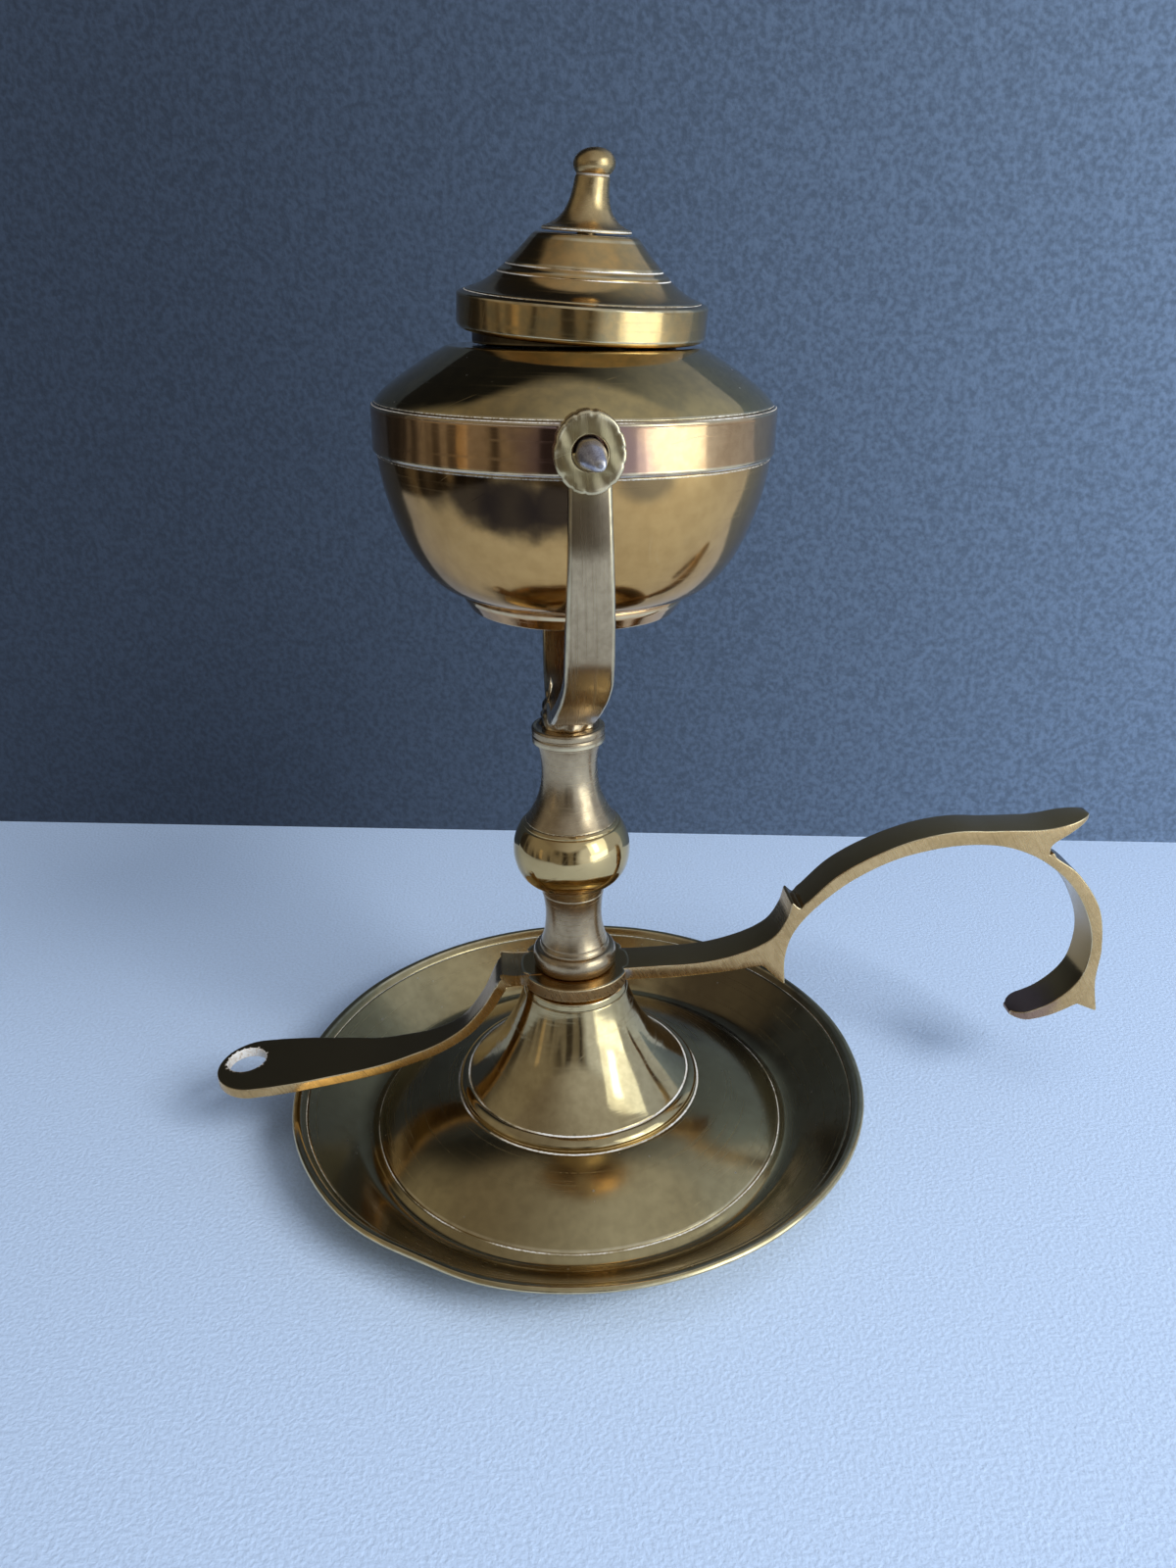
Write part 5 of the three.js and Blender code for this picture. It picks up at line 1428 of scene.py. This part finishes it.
# Darker round the fork's root under the font, a green tint at the eye, and a dark patch below it.
fork_stains = [
    (root, 7.0, ROOT_DARK, 0.9), (front_eye + [0, -4, 0], 7.0, GREENISH, 0.6),
    (front_eye + [0, -3, -10], 6.0, DEEP_DARK, 0.4),
]
# the crest's dark spot, in the same dark colour as the tops: patina with painted shade
handle_stains = [(hook_end, 9.0, PURPLE, 0.7), (crest, 4.5, PATINA_AND_SHADE, 0.8)]
handle_stains += [(nick, NICK_REACH, POLISH_WHITE, NICK_POLISH) for nick in nicks]
print("stains on the bowl, fork and handle:", len(bowl_stains), len(fork_stains), len(handle_stains))

# %% [markdown]
# Each brass finish is one call. They could be set by hand in the shader editor, but side by side the calls
# show how the pieces differ: in colour, roughness, the size of their patches, and their marks.

# %% Brass finishes
# The dish's right wall gets a painted shade.
metal("dish", OLIVE, OLIVE_DARK, 0.13, patch=0.02, dull=0.09, rings=0.02, dust=0.09, dents=0.12,
      stains=[(right_wall, 24.0, SHADE, 0.8)])
metal("bell", CAST, CAST_DARK, 0.08, patch=0.016, rings=0.25, spacing=0.0012, pit_share=0.05, pit_size=0.004,
      dents=0.35)
# the stem is darker round the fork's root
metal("stem", PALE, PALE_DARK, 0.22, patch=0.012, rings=0.06, stains=[(root, 7.0, ROOT_DARK, 0.8)],
      mirror=(stem_low[2] + KNOP_MIDDLE, KNOP_HALF))
metal("bowl", POLISHED, POLISHED_DARK, 0.09, patch=0.022, rings=0.02, stains=bowl_stains)
metal("shoulder", GOLDEN, OLIVE_DARK, 0.05, patch=0.02, dull=0.03, rings=0.01, dust=0.08, dents=0.1)
metal("band", BANDED, BANDED_DARK, 0.08, patch=0.014, rings=0.03, stains=[(front_eye, 12.0, PURPLE, 0.75)])
metal("lid", POLISHED, OLIVE_DARK, 0.10, patch=0.016, rings=0.04, dust=0.03)
metal("finial", KNOB, KNOB_DARK, 0.24, patch=0.008, rings=0.06)
metal("inner", INNER, INNER_DARK, 0.35, patch=0.006, rings=0.1, edge=0.2, polish=0.4)
# the tops and the hook's inside are painted dark: painted shade and reflection, with patina
metal("handle", FILED, FILED_DARK, 0.24, patch=0.012, strokes=((2600, 90, 90), (0, 0.5, 0)),
      stroke_depth=0.4, top=PATINA_AND_SHADE, edge=0.9, stains=handle_stains)
metal("fork", PALE, PALE_DARK, 0.2, patch=0.008, strokes=((2200, 90, 40), (0, 0, 0)), stroke_depth=0.12,
      stains=fork_stains)

# %% [markdown]
# Iron, lead and cotton. The pins and the rod are dark forged iron with worn high spots, and the ballast is
# dull cast lead: the same recipe, without rings or polish. The wicks are twisted cotton. Strands could be
# modelled, but only their ends ever show, so a slanted wave on the UV map gives the twist, and the height
# chars the tops.

# %% Other finishes
IRON, IRON_DARK = (0.80, 0.75, 0.78), (0.32, 0.27, 0.29)
LEAD, LEAD_DARK = (0.42, 0.43, 0.45), (0.24, 0.24, 0.25)
for name, clean, dark, roughness, patch in (
    ("iron", IRON, IRON_DARK, 0.22, 0.002), ("lead", LEAD, LEAD_DARK, 0.55, 0.006),
):
    metal(name, clean, dark, roughness, patch=patch, dull=0.2, edge=0.3, polish=0.0, pit_share=0.1,
          pit_size=0.002)

THREAD_PALE, THREAD_DARK, CHARRED = (0.86, 0.82, 0.72), (0.66, 0.58, 0.44), (0.05, 0.04, 0.035)
CHAR_FROM, CHAR_TO, TWIST_SCALE = 0.1615, 0.1645, (9.0, 900.0, 1.0)
cotton = Finish("cotton", 0.85)
wave = {"Vector": cotton.mapped(cotton.uv, TWIST_SCALE), "Scale": 1.0, "Distortion": 1.5, "Detail": 2.0}
twist = cotton.node("ShaderNodeTexWave", wave).outputs["Fac"]
cotton.color = cotton.mix(twist, (*THREAD_DARK, 1), (*THREAD_PALE, 1))
cotton.tint(cotton.step(cotton.part(cotton.place, "Z"), CHAR_FROM, CHAR_TO), CHARRED)
cotton.rougher(twist, 0.1)
cotton.height = twist
cotton.laid_on(made["cotton"], 0.8, 0.0002)

# %% [markdown]
# The stage. The lamp stands on a pale, finely grained table top in front of a dark, mottled board, whose
# colour is painted lighter towards the right, as light falling from the right. Polished brass shows little
# of its own and mostly what stands around it, so the board matters: the dark tops of the handle and the dark
# upper edge of the shoulder are its reflection. A curved backdrop would be simpler, but it would take those
# dark edges away. Seen from behind, the board lets the view through.

# %% Table and board
TOOTH_LOW, TOOTH_HIGH, TOOTH_STRENGTH = 0.3, 0.7, 0.4
DARK_END, PAINTED_LIGHT_END = -0.15, 0.4


def staged(name, corners, color, painted_light_color, roughness, grain, depth, mottle):
    """A flat sheet that isn't part of the lamp. Its colour moves along X towards a second colour, which paints
    light falling from the right, and is mottled by its grain.
    """
    mesh = bpy.data.meshes.new(name)
    mesh.from_pydata(corners, [], [(0, 1, 2, 3)])
    piece = bpy.data.objects.new(name, mesh)
    bpy.context.scene.collection.objects.link(piece)
    finish = Finish(name, roughness)
    tooth = finish.noise(finish.place, grain, 4.0)
    # towards +X the colour turns to the second one: painted light from the right
    across = finish.step(finish.part(finish.place, "X"), DARK_END, PAINTED_LIGHT_END)
    shade = finish.mix(across, (*color, 1), (*painted_light_color, 1))
    dark = finish.mix(mottle, shade, (0, 0, 0, 1))
    finish.color = finish.mix(finish.step(tooth, TOOTH_LOW, TOOTH_HIGH), dark, shade)
    finish.height = tooth
    finish.laid_on([piece], TOOTH_STRENGTH, depth)
    return finish


bpy.context.scene.view_settings.view_transform = "Standard"
TABLE_COLOR, TABLE_GRAIN, TABLE_MOTTLE = (0.49, 0.60, 0.78), 1300.0, 0.12
TABLE_LEFT, TABLE_RIGHT, TABLE_FRONT, TABLE_BACK = -0.40, 1.2, -0.38, 1.2
# the board's second colour is painted light from the right
BOARD_COLOR, BOARD_PAINTED_LIGHT_COLOR = (0.033, 0.046, 0.071), (0.20, 0.28, 0.41)
BOARD_GRAIN, BOARD_MOTTLE = 650.0, 0.38
BOARD_MIDDLE, BOARD_TURN, BOARD_HIGH = np.array([0, 0.14]), np.radians(-8.8), 0.27
BOARD_LEFT, BOARD_RIGHT = -0.30, 0.26

table_corners = [(TABLE_LEFT, TABLE_FRONT, 0), (TABLE_RIGHT, TABLE_FRONT, 0),
                 (TABLE_RIGHT, TABLE_BACK, 0), (TABLE_LEFT, TABLE_BACK, 0)]
staged("table", table_corners, TABLE_COLOR, TABLE_COLOR, 0.55, TABLE_GRAIN, 0.0005, TABLE_MOTTLE)
board_way = np.array([np.cos(BOARD_TURN), np.sin(BOARD_TURN)])
left_end, right_end = (BOARD_MIDDLE + along * board_way for along in (BOARD_LEFT, BOARD_RIGHT))
board_corners = [(*left_end, 0), (*right_end, 0), (*right_end, BOARD_HIGH), (*left_end, BOARD_HIGH)]
board = staged(
    "board", board_corners, BOARD_COLOR, BOARD_PAINTED_LIGHT_COLOR, 0.7, BOARD_GRAIN, 0.0006, BOARD_MOTTLE)
behind = board.node("ShaderNodeNewGeometry").outputs["Backfacing"]
clear = board.node("ShaderNodeBsdfTransparent").outputs[0]
shown = board.node("ShaderNodeMixShader", {0: behind, 1: board.shader.outputs[0], 2: clear})
board.wire(board.tree.nodes["Material Output"], {"Surface": shown.outputs[0]})
print("board stands %.0f mm behind the lamp's middle" % (BOARD_MIDDLE[1] / MM))

# %% [markdown]
# The camera stands where the photograph was taken from: its place and turn were fitted to the lamp's own
# sizes. It could be aimed by a Track To constraint instead, but then its roll couldn't be fitted. The lens
# follows from the fitted focal length in pixels and the picture's height.

# %% Camera
CAMERA_PLACE = np.array([-26.57, -200.81, 165.5])
CAMERA_YAW, CAMERA_PITCH, CAMERA_ROLL = np.radians([3.49, 23.4, -1.28])
FOCAL_PIXELS, PHOTO_HEIGHT, SENSOR = 1165.0, 1600.0, 36.0
ahead = np.array([np.sin(CAMERA_YAW) * np.cos(CAMERA_PITCH), np.cos(CAMERA_YAW) * np.cos(CAMERA_PITCH),
                  -np.sin(CAMERA_PITCH)])
right = np.array([np.cos(CAMERA_YAW), -np.sin(CAMERA_YAW), 0])
over = np.cross(right, ahead)
camera_right = np.cos(CAMERA_ROLL) * right + np.sin(CAMERA_ROLL) * over
camera_up = np.cos(CAMERA_ROLL) * over - np.sin(CAMERA_ROLL) * right
camera_data = bpy.data.cameras.new("camera")
camera_data.sensor_width = SENSOR
camera_data.lens = FOCAL_PIXELS / PHOTO_HEIGHT * SENSOR
camera_data.clip_start = 0.01
camera = bpy.data.objects.new("camera", camera_data)
bpy.context.scene.collection.objects.link(camera)
turn = np.stack([camera_right, camera_up, -ahead], -1)
camera.matrix_world = Matrix.Translation(CAMERA_PLACE * MM) @ Matrix(turn.tolist()).to_4x4()
bpy.context.scene.camera = camera
print("lens %.1f mm" % camera_data.lens)

# %% [markdown]
# Light. A tall soft window stands at the right front, with one brighter pane, and a low card below it
# lights the dish. A small strong main box throws the shadow on the table, and a wide one overhead fills it;
# these two aren't mirrored, because no such squares show in the brass. A small warm card stands at the
# left. Point lights could be used, but polished brass mirrors them, so each light has a size and a shape.

# %% Boxes of light
WINDOW_COLOR, PANE_COLOR = (0.74, 0.89, 1.0), (0.8, 0.92, 1.0)
BOX_COLOR, CARD_COLOR = (0.97, 0.99, 1.0), (1.0, 0.78, 0.4)
LAMP_MIDDLE = np.array([0, 0, 0.09])


def softbox(name, azimuth, elevation, distance, size, power, color, mirrored=True):
    """A rectangle of light that faces the lamp. Azimuth counts from the camera's side towards +X."""
    a, e = np.radians([azimuth, elevation])
    way = np.array([np.sin(a) * np.cos(e), -np.cos(a) * np.cos(e), np.sin(e)])
    data = bpy.data.lights.new(name, "AREA")
    data.shape = "RECTANGLE"
    data.size, data.size_y = size
    data.energy = power
    data.color = color
    box = bpy.data.objects.new(name, data)
    bpy.context.scene.collection.objects.link(box)
    box.location = LAMP_MIDDLE + distance * way
    box.rotation_euler = Vector(-way).to_track_quat("-Z", "Y").to_euler()
    box.visible_glossy = mirrored
    return box


boxes = [
    softbox("window", 53, 14, 1.1, (0.8, 1.05), 3.6, WINDOW_COLOR),
    softbox("pane", 47, 20, 1.08, (0.2, 0.42), 0.8, PANE_COLOR),
    softbox("low card", 50, -3, 0.65, (0.5, 0.16), 0.3, WINDOW_COLOR),
    softbox("overhead", 20, 66, 1.4, (1.1, 1.1), 4.0, BOX_COLOR, mirrored=False),
    softbox("main", 44, 37, 1.4, (0.6, 0.45), 18.0, BOX_COLOR, mirrored=False),
    softbox("warm card", -65, 2, 0.9, (0.1, 0.3), 0.02, CARD_COLOR),
]
print(len(boxes), "boxes of light")

# %% [markdown]
# Room. Polished brass shows the room more than itself. A picture of a room could be wrapped round the lamp,
# but soft shapes are simple to change, so directions near a given one take its colour. The left is dim with
# paler doorways, the right is bright, and the ceiling leans to the front. Together with the boxes, it
# lights a level sheet about as brightly as its own colour.

# %% The room as world
ROOM_DEEP, ROOM_DIM, ROOM_DOORS = (0.012, 0.014, 0.018, 1), (0.045, 0.043, 0.04, 1), (0.20, 0.205, 0.20, 1)
ROOM_PALE, ROOM_RIGHT, ROOM_FRONT = (0.24, 0.24, 0.22, 1), (0.44, 0.55, 0.75, 1), (0.72, 0.89, 1.18, 1)
CEILING_LEFT, CEILING_RIGHT = (0.20, 0.195, 0.185, 1), (0.46, 0.53, 0.64, 1)
UPRIGHT, DOOR_SCALE = (1.0, 1.0, 0.12), 6.0
world = bpy.data.worlds.new("room")
bpy.context.scene.world = world
world.use_nodes = True
sheet = Sheet(world.node_tree)
way = sheet.node("ShaderNodeTexCoord").outputs["Generated"]


def towards(direction, low, high):
    """How far a direction agrees with a given one, as a smooth step of their dot product."""
    agree = sheet.node("ShaderNodeVectorMath", {0: way, 1: direction}, operation="DOT_PRODUCT")
    return sheet.step(agree.outputs["Value"], low, high)


level = sheet.node("ShaderNodeVectorMath", {0: way, 1: UPRIGHT}, operation="MULTIPLY").outputs[0]
doorways = sheet.step(sheet.noise(level, DOOR_SCALE, 1.0), 0.42, 0.56)
dim = sheet.mix(doorways, ROOM_DIM, ROOM_DOORS)
room = sheet.mix(towards((-0.70, -0.70, 0.15), 0.05, 0.85), ROOM_DEEP, dim)
room = sheet.mix(towards((-0.77, -0.28, 0.57), 0.70, 0.95), room, ROOM_PALE)
room = sheet.mix(towards((1.0, 0.0, 0.1), 0.1, 0.8), room, ROOM_RIGHT)
room = sheet.mix(towards((0.64, -0.77, 0.05), 0.80, 0.93), room, ROOM_FRONT)
ceiling = sheet.mix(towards((0.9, -0.3, 0.0), -0.5, 0.4), CEILING_LEFT, CEILING_RIGHT)
room = sheet.mix(towards((-0.06, -0.40, 0.91), 0.65, 0.74), room, ceiling)
world.node_tree.links.new(room, world.node_tree.nodes["Background"].inputs["Color"])
print("room of", len(world.node_tree.nodes), "nodes")

# %% [markdown]
# The boxes of the solids and of the finished lamp are kept, so that their sizes can be compared.
